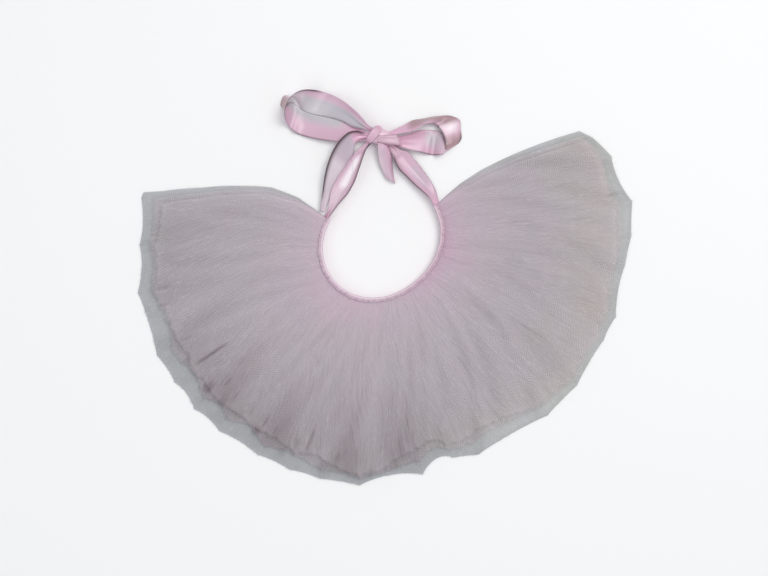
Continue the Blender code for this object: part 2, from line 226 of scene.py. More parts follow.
# %% [markdown]
# ## Folds
#
# Cloth simulation could gather the skirt, but it would not put any fold where it should be, so
# the folds are heights added to the fan. Three sizes lie over each other. The stitch line makes
# fine gathers, which fade on the way out. Between them grow softer ripples and fine crinkles,
# each with its own strength. The largest folds are placed one by one, and a few sharp creases
# are pressed into the net near the hem. All three layers share these, so that they nest and
# never pass through each other.

# %% The largest folds and the pressed creases
Fold = namedtuple("Fold", "angle inner outer half_width height")
FOLDS = [
    Fold(-186.0, 70.0, 235.0, 4.0, 1.8),
    Fold(-176.0, 110.0, 235.0, 3.0, 1.4),
    Fold(-167.5, 90.0, 235.0, 3.5, 2.0),
    Fold(-156.0, 120.0, 235.0, 3.0, 1.6),
    Fold(-146.0, 80.0, 235.0, 3.0, 2.4),
    Fold(-139.5, 150.0, 235.0, 2.8, 2.2),
    Fold(-131.0, 100.0, 235.0, 3.0, 1.8),
    Fold(-122.5, 130.0, 235.0, 3.0, 2.2),
    Fold(-113.5, 80.0, 235.0, 3.0, 1.8),
    Fold(-106.0, 120.0, 235.0, 2.8, 1.6),
    Fold(-97.0, 70.0, 235.0, 3.5, 2.0),
    Fold(-88.0, 110.0, 235.0, 3.0, 1.4),
    Fold(-80.0, 90.0, 235.0, 3.0, 2.4),
    Fold(-71.0, 130.0, 235.0, 3.2, 1.6),
    Fold(-62.0, 85.0, 235.0, 3.5, 1.3),
    Fold(-52.0, 120.0, 235.0, 3.0, 1.1),
    Fold(-43.0, 95.0, 235.0, 3.0, 1.2),
    Fold(-33.0, 90.0, 235.0, 3.2, 1.3),
    Fold(-24.0, 120.0, 235.0, 3.0, 1.1),
    Fold(-14.0, 95.0, 235.0, 3.2, 1.2),
    Fold(-3.0, 90.0, 235.0, 3.0, 1.5),
    Fold(7.0, 120.0, 240.0, 3.0, 1.8),
    Fold(15.0, 90.0, 240.0, 3.2, 2.0),
    Fold(23.0, 100.0, 240.0, 3.4, 1.7),
]
FOLD_RISE = 45.0  # mm over which a fold rises at each end

CREASES = [
    Fold(-167.8, 186.0, 213.0, 0.6, 0.5),
    Fold(-163.6, 193.0, 214.0, 0.5, 0.4),
    Fold(-158.7, 196.0, 210.0, 0.5, 0.4),
    Fold(-153.4, 188.0, 203.0, 0.5, 0.4),
    Fold(-148.4, 199.0, 212.0, 1.3, 0.6),
    Fold(-146.3, 164.0, 202.0, 0.6, 1.3),
    Fold(-143.2, 174.0, 190.0, 0.5, 0.5),
    Fold(-139.8, 195.0, 213.0, 1.7, 1.0),
    Fold(-137.4, 180.0, 195.0, 0.5, 0.6),
    Fold(-135.9, 168.0, 181.0, 0.4, 0.4),
    Fold(-134.6, 199.0, 212.0, 1.5, 0.9),
    Fold(-133.1, 184.0, 198.0, 0.6, 0.6),
    Fold(-130.8, 174.0, 188.0, 0.4, 0.5),
    Fold(-129.0, 196.0, 206.0, 1.0, 0.4),
    Fold(-127.2, 187.0, 200.0, 0.5, 0.6),
    Fold(-123.4, 198.0, 214.0, 1.6, 1.0),
    Fold(-122.6, 184.0, 202.0, 0.7, 0.6),
    Fold(-119.2, 189.0, 204.0, 0.5, 0.6),
    Fold(-117.4, 174.0, 187.0, 0.4, 0.4),
    Fold(-115.3, 205.0, 217.0, 1.5, 0.9),
    Fold(-112.6, 191.0, 205.0, 0.6, 0.6),
    Fold(-109.6, 176.0, 206.0, 0.7, 0.7),
    Fold(-106.8, 187.0, 199.0, 0.4, 0.5),
    Fold(-105.0, 204.0, 217.0, 1.8, 0.8),
    Fold(-101.5, 192.0, 207.0, 0.5, 0.5),
    Fold(-96.8, 184.0, 200.0, 0.4, 0.4),
    Fold(-92.6, 203.0, 216.0, 0.9, 1.0),
    Fold(-80.8, 170.0, 183.0, 0.6, 0.7),
    Fold(-65.0, 190.0, 202.0, 0.5, 0.3),
    Fold(-50.3, 196.0, 206.0, 0.5, 0.3),
    Fold(-31.0, 142.0, 172.0, 0.8, 0.3),
    Fold(-8.5, 118.0, 130.0, 0.6, 0.3),
    Fold(-1.9, 210.0, 223.0, 0.6, 0.4),
    Fold(11.3, 205.0, 223.0, 0.7, 0.9),
    Fold(19.9, 209.0, 220.0, 0.6, 0.4),
]
CREASE_RISE = 8.0


def ridges(table, angle, radius, rise):
    """Height of a table of radial ridges at each place."""
    height = np.zeros_like(angle)
    for fold in table:
        aside = np.clip(np.abs(angle - fold.angle) / fold.half_width, 0, 1)
        start = np.clip((radius - fold.inner) / rise, 0, 1)
        end = np.clip((fold.outer - radius) / rise, 0, 1)
        height += fold.height * start * end * np.cos(aside * np.pi / 2) ** 2
    return height


print(len(FOLDS), "folds and", len(CREASES), "creases")

# %% Uneven curves
WOBBLES = np.random.default_rng(20)


def wobble(across, count, table):
    """A smooth uneven curve along the strip, between -1 and 1."""
    return sum(
        weight * np.sin(2 * np.pi * (count * rate * across + phase))
        for weight, rate, phase in table
    )


def wobble_table(count):
    """Weights, rates and phases of one uneven curve. The seed makes them the same each run."""
    weights = WOBBLES.uniform(0.4, 1.0, count)
    rates = WOBBLES.uniform(0.6, 1.7, count)
    return list(zip(weights / weights.sum(), rates, WOBBLES.uniform(0, 1, count)))


GATHER_SHIFT, GATHER_SIZE = wobble_table(5), wobble_table(5)
RIPPLE_SHIFT, RIPPLE_SIZE = wobble_table(5), wobble_table(6)
CRINKLE_SHIFT, CRINKLE_SIZE = wobble_table(6), wobble_table(6)
print("one uneven curve:", wobble(np.linspace(0, 1, 6), 1, GATHER_SIZE).round(2))

# %% Gathers, ripples and crinkles
# Along the strip there are so many waves of each kind. They stray sideways by so many waves, so
# many times over, and their size changes round the usual one, so many times over.
Kind = namedtuple("Kind", "count stray strays usual change changes least")
GATHERED = Kind(60, 0.45, 23, 0.75, 0.25, 31, 0.0)
RIPPLED = Kind(96, 1.6, 11, 0.5, 0.9, 17, 0.1)
CRINKLED = Kind(215, 2.6, 13, 0.65, 0.8, 26, 0.15)
# On the way down, ripples and crinkles also drift to and fro by so many waves, and the places
# where they are large shift along the strip.
Drift = namedtuple("Drift", "waves down along shift")
RIPPLE_DRIFT = Drift(0.7, 0.8, 4.3, 0.05)
CRINKLE_DRIFT = Drift(0.9, 1.7, 7.9, 0.11)
GATHER_LOOSE = 0.4  # gathers stray by this share at the waist, and ever more on the way down

Wave = namedtuple("Wave", "share gathers ripples crinkles")
WAVES = [
    Wave(0.00, 1.00, 0.00, 0.00),
    Wave(0.06, 1.00, 0.25, 0.25),
    Wave(0.20, 0.62, 0.48, 0.60),
    Wave(0.45, 0.45, 0.80, 1.10),
    Wave(0.75, 0.35, 0.90, 1.35),
    Wave(1.00, 0.30, 1.00, 1.50),
]


def crest(turns):
    """A wave with narrow crests and wide troughs, from 0 to 1."""
    return 1 - np.abs(np.sin(np.pi * turns)) ** 0.9


def swell(turns):
    """A round wave, from 0 to 1."""
    return 0.5 + 0.5 * np.cos(2 * np.pi * turns)


def strayed(kind, across, table):
    """How far the waves of one kind stray sideways, in waves."""
    return kind.stray * wobble(across, kind.strays, table)


def sized(kind, across, table):
    """How large the waves of one kind are: they grow and shrink along the strip."""
    return np.clip(kind.usual + kind.change * wobble(across, kind.changes, table), kind.least, 1)


def drifted(drift, across, share):
    """How far waves drift to and fro on the way down, in waves."""
    return drift.waves * np.sin(2 * np.pi * (drift.down * share + drift.along * across))


def waves(across, share):
    """Height in millimetres of the gathers, ripples and crinkles."""
    stray = strayed(GATHERED, across, GATHER_SHIFT) * (GATHER_LOOSE + share)
    gather = crest(GATHERED.count * across + stray) * sized(GATHERED, across, GATHER_SIZE)
    stray = strayed(RIPPLED, across, RIPPLE_SHIFT) + drifted(RIPPLE_DRIFT, across, share) * share
    shifted = across + RIPPLE_DRIFT.shift * share
    ripple = swell(RIPPLED.count * across + stray) * sized(RIPPLED, shifted, RIPPLE_SIZE)
    stray = strayed(CRINKLED, across, CRINKLE_SHIFT) + drifted(CRINKLE_DRIFT, across, share)
    shifted = across + CRINKLE_DRIFT.shift * share
    crinkle = swell(CRINKLED.count * across + stray) * sized(CRINKLED, shifted, CRINKLE_SIZE)
    return (
        read(WAVES, "share", "gathers", share) * gather
        + read(WAVES, "share", "ripples", share) * ripple
        + read(WAVES, "share", "crinkles", share) * crinkle
    )


sample = waves(np.linspace(0, 1, 2000), np.full(2000, 0.5))
print(f"half way down, ripples rise {sample.max():.1f} mm")

# %% [markdown]
# ## Net
#
# Tulle is a hexagonal net. Cutting its holes into the mesh would take some 160,000 of them, each
# less than 2 mm across, so they are made in the material: a pattern of hexagons on the cloth's own
# flat coordinates sets how much each point covers. Where the cloth is bunched or stands on a
# slope, more threads lie over each other, and it covers more. The mesh stores that as an
# attribute, so it stays with the cloth. A few helpers keep the node code short.

# %% Helpers for shader nodes
def fill(tree, node, values):
    """Sets inputs by name or number, each to a plain value or to a link from a socket."""
    for key, value in values.items():
        if isinstance(value, bpy.types.NodeSocket):
            tree.links.new(value, node.inputs[key])
        else:
            node.inputs[key].default_value = value
    return node


def add_node(tree, kind, *values, operation=None, **named):
    """A shader node. Values go to its inputs in order, and named ones by name."""
    node = tree.nodes.new(kind)
    if operation:
        node.operation = operation
    fill(tree, node, dict(enumerate(values)))
    return fill(tree, node, named)


def math_node(tree, operation, *values):
    """The result of a Math node on sockets or numbers."""
    return add_node(tree, "ShaderNodeMath", *values, operation=operation).outputs[0]


def vector_node(tree, operation, *values):
    """The result of a Vector Math node. Dot Product puts out a number."""
    node = add_node(tree, "ShaderNodeVectorMath", *values, operation=operation)
    return node.outputs["Value" if operation == "DOT_PRODUCT" else "Vector"]


def in_range(tree, value, *span):
    """A Map Range node's result: from low, from high, to low, to high. The last two may be left."""
    return add_node(tree, "ShaderNodeMapRange", value, *span).outputs[0]


def mix_colors(tree, factor, color, other):
    """A colour that goes from a socket's to another socket's, or to a plain one, by a factor."""
    mix = add_node(tree, "ShaderNodeMix", Factor=factor)
    mix.data_type = "RGBA"
    plain = not isinstance(other, bpy.types.NodeSocket)
    fill(tree, mix, {6: color, 7: (*other, 1.0) if plain else other})
    return mix.outputs[2]


print("node helpers ready")

# %% What a material reads from a mesh, and node groups
FLAT_MAP = "flat"


def attribute(tree, name):
    """The value of an attribute that the mesh stores."""
    node = tree.nodes.new("ShaderNodeAttribute")
    node.attribute_name = name
    return node.outputs["Fac"]


def flat_map(tree):
    """The place on the flat, uncut cloth, in metres, which the mesh holds as its UV map."""
    node = tree.nodes.new("ShaderNodeUVMap")
    node.uv_map = FLAT_MAP
    return node.outputs[0]


def new_group(name, inputs, outputs):
    """An empty node group with its sockets. Inputs are name to (kind, value)."""
    group = bpy.data.node_groups.new(name, "ShaderNodeTree")
    for socket, (kind, value) in inputs.items():
        made = group.interface.new_socket(socket, in_out="INPUT", socket_type=kind)
        if value is not None:
            made.default_value = value
    for socket, kind in outputs.items():
        group.interface.new_socket(socket, in_out="OUTPUT", socket_type=kind)
    return group, group.nodes.new("NodeGroupInput"), group.nodes.new("NodeGroupOutput")


def place_group(tree, group, **values):
    """A group node with some of its inputs set."""
    node = tree.nodes.new("ShaderNodeGroup")
    node.node_tree = group
    return fill(tree, node, values)


print("group helpers ready")

# %% The hexagonal net, as a node group
HEX_TILE = (1.0, math.sqrt(3.0), 1.0)
HEX_HALF = (0.5, math.sqrt(3.0) / 2, 0.0)
FAR_INSIDE = (500.0, 500 * math.sqrt(3.0), 0.0)  # keeps the pattern's coordinates positive
PULLS_PER_METRE, PULL = 60.0, 0.008  # the net is pulled out of true here and there
PLY_TURN = 0.23  # radians from one layer's grain to the next


def tile_place(group, place):
    """Where a point lies in its tile, measured from the tile's middle."""
    return vector_node(group, "SUBTRACT", vector_node(group, "MODULO", place, HEX_TILE), HEX_HALF)


def hexagon_net():
    """Puts out 1 on the threads of a hexagonal net and 0 in its holes."""
    group, given, out = new_group(
        "hexagon_net",
        {
            "Flat": ("NodeSocketVector", None),
            "Cell": ("NodeSocketFloat", 0.002),
            "Thread": ("NodeSocketFloat", 0.1),
            "Ply": ("NodeSocketFloat", 0.0),
        },
        {"Net": "NodeSocketFloat"},
    )
    flat = given.outputs["Flat"]
    noise = add_node(group, "ShaderNodeTexNoise", Vector=flat, Scale=PULLS_PER_METRE)
    pull = vector_node(group, "MULTIPLY", noise.outputs["Color"], (PULL, PULL, 0.0))
    pulled = vector_node(group, "ADD", flat, pull)
    angle = math_node(group, "MULTIPLY", given.outputs["Ply"], PLY_TURN)
    turned = add_node(group, "ShaderNodeVectorRotate", Vector=pulled, Angle=angle)
    turned.rotation_type = "Z_AXIS"
    size = math_node(group, "DIVIDE", 1.0, given.outputs["Cell"])
    scaled = add_node(
        group, "ShaderNodeVectorMath", turned.outputs[0], operation="SCALE", Scale=size
    )

    place = vector_node(group, "ADD", scaled.outputs[0], FAR_INSIDE)
    tile_a = tile_place(group, place)
    tile_b = tile_place(group, vector_node(group, "SUBTRACT", place, HEX_HALF))
    far_a = vector_node(group, "DOT_PRODUCT", tile_a, tile_a)
    far_b = vector_node(group, "DOT_PRODUCT", tile_b, tile_b)
    pick = add_node(group, "ShaderNodeMix", Factor=math_node(group, "LESS_THAN", far_a, far_b))
    pick.data_type = "VECTOR"
    fill(group, pick, {4: tile_b, 5: tile_a})
    corner = vector_node(group, "ABSOLUTE", pick.outputs[1])
    slanted = vector_node(group, "DOT_PRODUCT", corner, HEX_HALF)
    upright = vector_node(group, "DOT_PRODUCT", corner, (1.0, 0.0, 0.0))
    depth = math_node(group, "SUBTRACT", 0.5, math_node(group, "MAXIMUM", slanted, upright))
    thread = add_node(group, "ShaderNodeMapRange", depth, 0.0, given.outputs["Thread"], 1.0, 0.0)
    thread.interpolation_type = "SMOOTHSTEP"
    group.links.new(thread.outputs[0], out.inputs["Net"])
    return group


HEXAGON_NET = hexagon_net()
print("net group with", len(HEXAGON_NET.nodes), "nodes")

# %% [markdown]
# ## Unevenness
#
# Dyed cloth is never one flat colour. Handling, the dye bath and the way that threads bundle
# leave clouds and streaks. The net's tiny bright flecks are painted glints, where its threads
# catch the light. All of them are noise, stretched to the right length and width. Net, satin and
# sewing thread share the clouds, so those are a node group that each material places with its own
# colours and size. Clouds lie on Object coordinates and streaks on the cloth's flat ones, because
# dye doesn't care which way a thread runs, and a streak does.

# %% Uneven tint, as a node group
NOISE_SPAN = (0.3, 0.7)  # noise seldom leaves this range, so it is stretched to 0 to 1


def uneven_tint():
    """Mixes two colours by soft clouds on Object coordinates, as dye and handling leave them."""
    group, given, out = new_group(
        "uneven_tint",
        {
            "Color": ("NodeSocketColor", (0.8, 0.8, 0.8, 1.0)),
            "Other": ("NodeSocketColor", (0.7, 0.7, 0.7, 1.0)),
            "Size": ("NodeSocketFloat", 12.0),
            "Share": ("NodeSocketFloat", 0.5),
        },
        {"Color": "NodeSocketColor"},
    )
    place = group.nodes.new("ShaderNodeTexCoord").outputs["Object"]
    size = given.outputs["Size"]
    clouds = add_node(group, "ShaderNodeTexNoise", Vector=place, Scale=size, Detail=3.0)
    soft = in_range(group, clouds.outputs[0], *NOISE_SPAN)
    part = math_node(group, "MULTIPLY", soft, given.outputs["Share"])
    mixed = mix_colors(group, part, given.outputs["Color"], given.outputs["Other"])
    group.links.new(mixed, out.inputs["Color"])
    return group


UNEVEN_TINT = uneven_tint()


def tinted(tree, color, other, size, share):
    """A socket's colour, or a plain one, clouded with another plain one."""
    plain = not isinstance(color, bpy.types.NodeSocket)
    values = {"Color": (*color, 1.0) if plain else color, "Other": (*other, 1.0)}
    return place_group(tree, UNEVEN_TINT, Size=size, Share=share, **values).outputs[0]


print("tint group with", len(UNEVEN_TINT.nodes), "nodes")

# %% Streaks and soft relief, as node groups
STREAKS_PER_METRE = (300.0, 20.0, 1.0)  # across the strip and down it
FLECKS_PER_METRE = (800.0, 260.0, 1.0)
FLECK_FROM, FLECK_FULL = 0.56, 0.68
PLY_SHIFT = 7.3  # takes each layer's streaks from another part of the noise
RELIEF_STRENGTH = 0.4


def streaks():
    """Uneven streaks down the cloth where threads bundle, and the flecks where they catch light."""
    group, given, out = new_group(
        "streaks",
        {"Flat": ("NodeSocketVector", None), "Ply": ("NodeSocketFloat", 0.0)},
        {"Streak": "NodeSocketFloat", "Fleck": "NodeSocketFloat"},
    )
    shift = math_node(group, "MULTIPLY", given.outputs["Ply"], PLY_SHIFT)
    moved = add_node(group, "ShaderNodeCombineXYZ", Z=shift).outputs[0]

    def noise(per_metre, **settings):
        """Noise on the flat cloth, so many times a metre each way."""
        drawn = vector_node(group, "MULTIPLY", given.outputs["Flat"], per_metre)
        place = vector_node(group, "ADD", drawn, moved)
        return add_node(group, "ShaderNodeTexNoise", Vector=place, Scale=1.0, **settings).outputs[0]

    streak = in_range(group, noise(STREAKS_PER_METRE, Detail=4.0, Roughness=0.6), *NOISE_SPAN)
    group.links.new(streak, out.inputs["Streak"])
    fleck = in_range(group, noise(FLECKS_PER_METRE, Detail=1.0), FLECK_FROM, FLECK_FULL)
    group.links.new(math_node(group, "MULTIPLY", fleck, streak), out.inputs["Fleck"])
    return group


def soft_relief():
    """A normal for fluffy cloth: slopes shade less than on a hard surface, and threads stand up."""
    group, given, out = new_group(
        "soft_relief",
        {
            "Height": ("NodeSocketFloat", 0.0),
            "Depth": ("NodeSocketFloat", 0.0002),
            "Slope": ("NodeSocketFloat", 1.0),
        },
        {"Normal": "NodeSocketVector"},
    )
    surface = group.nodes.new("ShaderNodeNewGeometry").outputs["Normal"]
    slope = given.outputs["Slope"]
    scale = add_node(group, "ShaderNodeCombineXYZ", slope, slope, 1.0).outputs[0]
    leaning = vector_node(group, "MULTIPLY", surface, scale)
    bump = add_node(
        group,
        "ShaderNodeBump",
        Strength=RELIEF_STRENGTH,
        Distance=given.outputs["Depth"],
        Height=given.outputs["Height"],
        Normal=vector_node(group, "NORMALIZE", leaning),
    )
    group.links.new(bump.outputs[0], out.inputs["Normal"])
    return group


STREAKS, SOFT_RELIEF = streaks(), soft_relief()
print("streak group with", len(STREAKS.nodes), "nodes")

# %% [markdown]
# ## The net's finish
#
# Pink tulle is deepest in colour where it is gathered, because there are most threads, and fades
# towards the hem, where the surface below shows through. A colour ramp follows each point's share
# of the drop, and each later step mixes in one more thing: glow, painted warm light on the right
# hem, clouds, streaks, painted glints on threads and flecks, and painted shade in creases and along
# the left and lower hem. The holes are real transparency. Where one layer lets through a share `h`
# of the light, `n` layers let through `h` to the power `n`, so bunched net covers more.

# %% The net's colour
Net = namedtuple(
    "Net", "waist near middle hem warm thread crease shade patch cover thread_cover streak"
)
MIDDLE_SHARE = 0.30
PATCH_SIZE, PATCH_SHARE = 26.0, 0.5
SHADE_SIZE, SHADE_SHARE = 14.0, 0.35
# painted glints: threads and flecks are mixed towards the net's light thread colour
THREAD_GLINT = 0.5
FLECK_GLINT = 0.7


def net_color(tree, net, streak, fleck, threads):
    """Pinker at the waist, greyer at the hem, uneven; with painted warm light, glints and crease
    shade.
    """
    fade = tree.nodes.new("ShaderNodeValToRGB")
    fade.color_ramp.elements[0].color = (*net.near, 1.0)
    fade.color_ramp.elements[1].color = (*net.hem, 1.0)
    fade.color_ramp.elements.new(MIDDLE_SHARE).color = (*net.middle, 1.0)
    tree.links.new(attribute(tree, "share"), fade.inputs[0])
    color = mix_colors(tree, attribute(tree, "glow"), fade.outputs[0], net.waist)
    # painted light: the net turns warmer and lighter towards the right hem
    color = mix_colors(tree, attribute(tree, "warmth"), color, net.warm)
    color = tinted(tree, color, net.patch, PATCH_SIZE, PATCH_SHARE)
    color = tinted(tree, color, net.shade, SHADE_SIZE, SHADE_SHARE)
    color = mix_colors(tree, math_node(tree, "MULTIPLY", streak, net.streak), color, net.shade)
    # painted glints on the threads and flecks
    color = mix_colors(tree, math_node(tree, "MULTIPLY", threads, THREAD_GLINT), color, net.thread)
    color = mix_colors(tree, math_node(tree, "MULTIPLY", fleck, FLECK_GLINT), color, net.thread)
    return mix_colors(tree, attribute(tree, "crease"), color, net.crease)


print("a net has", len(Net._fields), "values of its own")

# %% The net's material
NET_CELL = 0.0017  # metres across one hexagon
NET_THREAD = 0.16  # half a thread, as a share of a cell
NET_DEPTH = 0.0002
NET_SLOPE = 0.115  # how much of a fold's real slope the light sees
NET_ROUGHNESS = 0.7


def net_material(name, net):
    """Sheer net with holes, which covers more where it is bunched or streaked."""
    material = plain_material(name, net.hem, NET_ROUGHNESS)
    tree = material.node_tree
    flat, ply = flat_map(tree), attribute(tree, "ply")
    hexagons = place_group(
        tree, HEXAGON_NET, Flat=flat, Cell=NET_CELL, Thread=NET_THREAD, Ply=ply
    )
    threads = hexagons.outputs["Net"]
    drawn = place_group(tree, STREAKS, Flat=flat, Ply=ply)
    streak, fleck = drawn.outputs["Streak"], drawn.outputs["Fleck"]

    gain = math_node(tree, "MULTIPLY", threads, net.thread_cover)
    hole = math_node(tree, "SUBTRACT", 1.0 - net.cover, gain)
    fuller = in_range(tree, streak, 0.0, 1.0, 1.0 - net.streak, 1.0 + net.streak)
    layers = math_node(tree, "MULTIPLY", attribute(tree, "bunching"), fuller)
    clear = math_node(tree, "POWER", hole, layers)
    relief = place_group(tree, SOFT_RELIEF, Height=threads, Depth=NET_DEPTH, Slope=NET_SLOPE)
    finish = {
        "Base Color": net_color(tree, net, streak, fleck, threads),
        "Alpha": math_node(tree, "SUBTRACT", 1.0, clear),
        "Normal": relief.outputs["Normal"],
        "Sheen Weight": 0.2,
        "Sheen Roughness": 0.5,
        "Specular IOR Level": 0.2,
    }
    fill(tree, tree.nodes["Principled BSDF"], finish)
    return material


print("one hexagon of net is", NET_CELL / MM, "mm across")

# %% The two nets
# in each net, the thread colour is for painted glints, the warm colour for painted light on the
# right hem, and the crease colour for painted shade
RIM_NET = Net(
    waist=(0.52, 0.45, 0.49),
    near=(0.50, 0.445, 0.48),
    middle=(0.47, 0.44, 0.46),
    hem=(0.435, 0.452, 0.475),
    warm=(0.485, 0.480, 0.455),
    thread=(0.60, 0.60, 0.61),
    crease=(0.16, 0.15, 0.155),
    shade=(0.40, 0.41, 0.43),
    patch=(0.44, 0.45, 0.50),
    cover=0.52,
    thread_cover=0.22,
    streak=0.15,
)
SKIRT_NET = Net(
    waist=(0.70, 0.35, 0.55),
    near=(0.84, 0.615, 0.74),
    middle=(0.69, 0.582, 0.645),
    hem=(0.505, 0.475, 0.480),
    warm=(0.69, 0.605, 0.55),
    thread=(0.90, 0.84, 0.88),
    crease=(0.22, 0.17, 0.18),
    shade=(0.60, 0.55, 0.585),
    patch=(0.665, 0.595, 0.70),
    cover=0.40,
    thread_cover=0.26,
    streak=0.10,
)
rim_material = net_material("sheer_net", RIM_NET)
skirt_material = net_material("pink_net", SKIRT_NET)
print("net materials ready")

# %% [markdown]
# ## The three layers
#
# Each layer starts as a flat grid, with a column for every 0.7 mm of hem. Every point is then
# carried to its place in the fan. Sewing the strips and letting a simulation gather them would
# take many minutes, and the fan's edges and points would not fall where they should. The layers
# are single sheets with no thickness, because light passes through net anyway. They lie on each
# other in order: the longest, sheer one on the floor, then the middle one, then the shortest.

# %% Where each layer ends
STRIP_LENGTH = 0.855  # metres of tulle gathered into each layer
STRIP_DROP = 0.166
Layer = namedtuple(
    "Layer", "node ply hem_share hem_line wander phase inset lift fold_share own_height murk"
)
# the last column is how much painted shade lies on a layer near the left and lower hem
LAYERS = [
    Layer("tulle_under", 0, 1.00, "", 0.000, 0.0, 0.0, 0.25, 0.35, 0.0, 0.06),
    Layer("tulle_middle", 1, 0.95, "middle", 0.012, 1.3, 1.8, 2.00, 0.45, 0.5, 0.52),
    Layer("tulle_top", 2, 0.91, "top", 0.018, 4.1, 3.6, 4.40, 1.00, 0.9, 0.52),
]
HemLine = namedtuple("HemLine", "angle middle top thick")
HEM_LINES = [
    HemLine(-191.5, 0.940, 0.890, 1.2),
    HemLine(-180.0, 0.950, 0.920, 1.25),
    HemLine(-168.0, 0.930, 0.910, 1.3),
    HemLine(-158.0, 0.900, 0.880, 1.4),
    HemLine(-151.0, 0.925, 0.865, 1.55),
    HemLine(-146.0, 0.895, 0.885, 1.7),
    HemLine(-140.0, 0.930, 0.880, 1.85),
    HemLine(-135.5, 0.905, 0.890, 1.85),
    HemLine(-131.0, 0.925, 0.865, 1.85),
    HemLine(-126.0, 0.900, 0.890, 1.85),
    HemLine(-120.0, 0.945, 0.880, 1.95),
    HemLine(-113.0, 0.915, 0.900, 1.75),
    HemLine(-107.0, 0.950, 0.890, 1.65),
    HemLine(-98.0, 0.960, 0.945, 1.75),
    HemLine(-90.0, 0.985, 0.965, 1.8),
    HemLine(-80.0, 0.930, 0.850, 1.8),
    HemLine(-72.0, 0.955, 0.925, 1.4),
    HemLine(-63.0, 0.925, 0.880, 1.05),
    HemLine(-50.0, 0.940, 0.915, 0.9),
    HemLine(-38.0, 0.965, 0.945, 0.9),
    HemLine(-26.0, 0.975, 0.955, 0.85),
    HemLine(-14.0, 0.965, 0.945, 0.95),
    HemLine(0.0, 0.960, 0.940, 0.95),
    HemLine(10.0, 0.935, 0.910, 0.95),
    HemLine(20.0, 0.955, 0.935, 1.1),
    HemLine(29.0, 0.970, 0.950, 1.1),
]
print("layers:", [layer.node for layer in LAYERS])

# %% Helpers for cloth
def grid_mesh(name, columns, rows):
    """A flat grid, with how far across and along it each point lies, from 0 to 1."""
    grid = bmesh.new()
    bmesh.ops.create_grid(grid, x_segments=columns, y_segments=rows, size=1.0)
    across = np.array([(v.co.x + 1) / 2 for v in grid.verts])
    along = np.array([(v.co.y + 1) / 2 for v in grid.verts])
    mesh = bpy.data.meshes.new(name)
    grid.to_mesh(mesh)
    grid.free()
    return mesh, across, along


def round_waist(angle, radius, height):
    """Points at angles in degrees round the waist."""
    turn = np.radians(angle)
    return np.stack([radius * np.cos(turn), radius * np.sin(turn), height], axis=1)


def set_points(mesh, points):
    """Moves a mesh's points to places given in millimetres from the middle of the waist."""
    world_points = (points + np.array(WAIST_MIDDLE)) * MM
    mesh.vertices.foreach_set("co", world_points.ravel())
    mesh.update()


def store(mesh, name, values):
    """Stores one number for each point of a mesh, for its material."""
    mesh.attributes.new(name, "FLOAT", "POINT").data.foreach_set("value", values.astype(np.float32))


def store_flat_map(mesh, across_m, along_m):
    """Stores each point's place on the flat, uncut cloth, in metres, as the UV map."""
    corners = np.empty(len(mesh.loops), dtype=np.int32)
    mesh.loops.foreach_get("vertex_index", corners)
    flat = mesh.uv_layers.new(name=FLAT_MAP)
    flat.data.foreach_set("uv", np.stack([across_m[corners], along_m[corners]], axis=1).ravel())


def cloth_object(mesh, nodes, material, thickness=0.0):
    """A finished piece of cloth on the garment, in place of its nodes."""
    mesh.shade_smooth()
    mesh.materials.append(material)
    piece = bpy.data.objects.new(mesh.name, mesh)
    bpy.context.collection.objects.link(piece)
    if thickness:
        wall = piece.modifiers.new("thickness", "SOLIDIFY")
        wall.thickness = thickness * MM
        wall.offset = 0.0
    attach(piece, "root")
    if nodes:
        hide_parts(*nodes)
    return piece


print("cloth helpers ready")

# %% Carry a grid to its place
SEAM_HEIGHT = 0.12
HEADING_RISE, HEADING_REACH = 1.8, 0.05  # the gathered edge stands up beside the band
INSET_BY, SPREAD_BY = 0.25, 0.15  # shares of the drop over which layers part
TRIM_CHANGES, TRIM_NICKS, OWN_CHANGES = 21, 61, 27  # uneven places along the strip


def layer_points(layer, across, along):
    """Each point's place in millimetres, its share of the drop and its angle."""
    own_place = across + layer.phase
    trim = 0.5 * wobble(own_place, TRIM_CHANGES, RIPPLE_SIZE)
    trim += 0.5 * wobble(own_place, TRIM_NICKS, CRINKLE_SIZE)
    hem = 1.0
    if layer.hem_line:
        left, right = FAN_EDGES[-1].left, FAN_EDGES[-1].right
        hem = read(HEM_LINES, "angle", layer.hem_line, left + (right - left) * across)
    share = along * (hem + layer.wander * trim)
    left, right = read(FAN_EDGES, "share", "left", share), read(FAN_EDGES, "share", "right", share)
    inset = layer.inset * np.clip(share / INSET_BY, 0, 1)
    angle = left + inset + (right - left - 2 * inset) * across
    inner = waist_radius(angle) + HEADING_OFFSET
    radius = inner + (hem_radius(angle) - inner) * share
    folds = ridges(FOLDS, angle, radius, FOLD_RISE) + ridges(CREASES, angle, radius, CREASE_RISE)
    own = layer.own_height * (1 + wobble(own_place, OWN_CHANGES, RIPPLE_SHIFT))
    own *= np.sin(np.pi * along / 2)
    spread = 0.5 + 0.5 * np.clip(share / SPREAD_BY, 0, 1)
    height = SEAM_HEIGHT + layer.lift * spread + waves(across, share) + layer.fold_share * folds
    height += own + HEADING_RISE * np.exp(-share / HEADING_REACH)
    return round_waist(angle, radius, height), share, angle


print("the layers lie", [layer.lift for layer in LAYERS], "mm up")

# %% What the material reads
THICK_FROM, THICK_OVER = 0.45, 0.4  # shares of the drop
HEM_FADE = 0.018  # the upper layers' loose hems thin out over this share
CUT_EDGE = 0.012
GLOW_ANGLE, GLOW_SHARE = 5.0, 0.10  # the deeper pink at the gathers is strongest on the right
# painted shade in the creases, and the darkest that the painted shade may get
CREASE_SHADE, MOST_CREASED = 0.5, 0.7
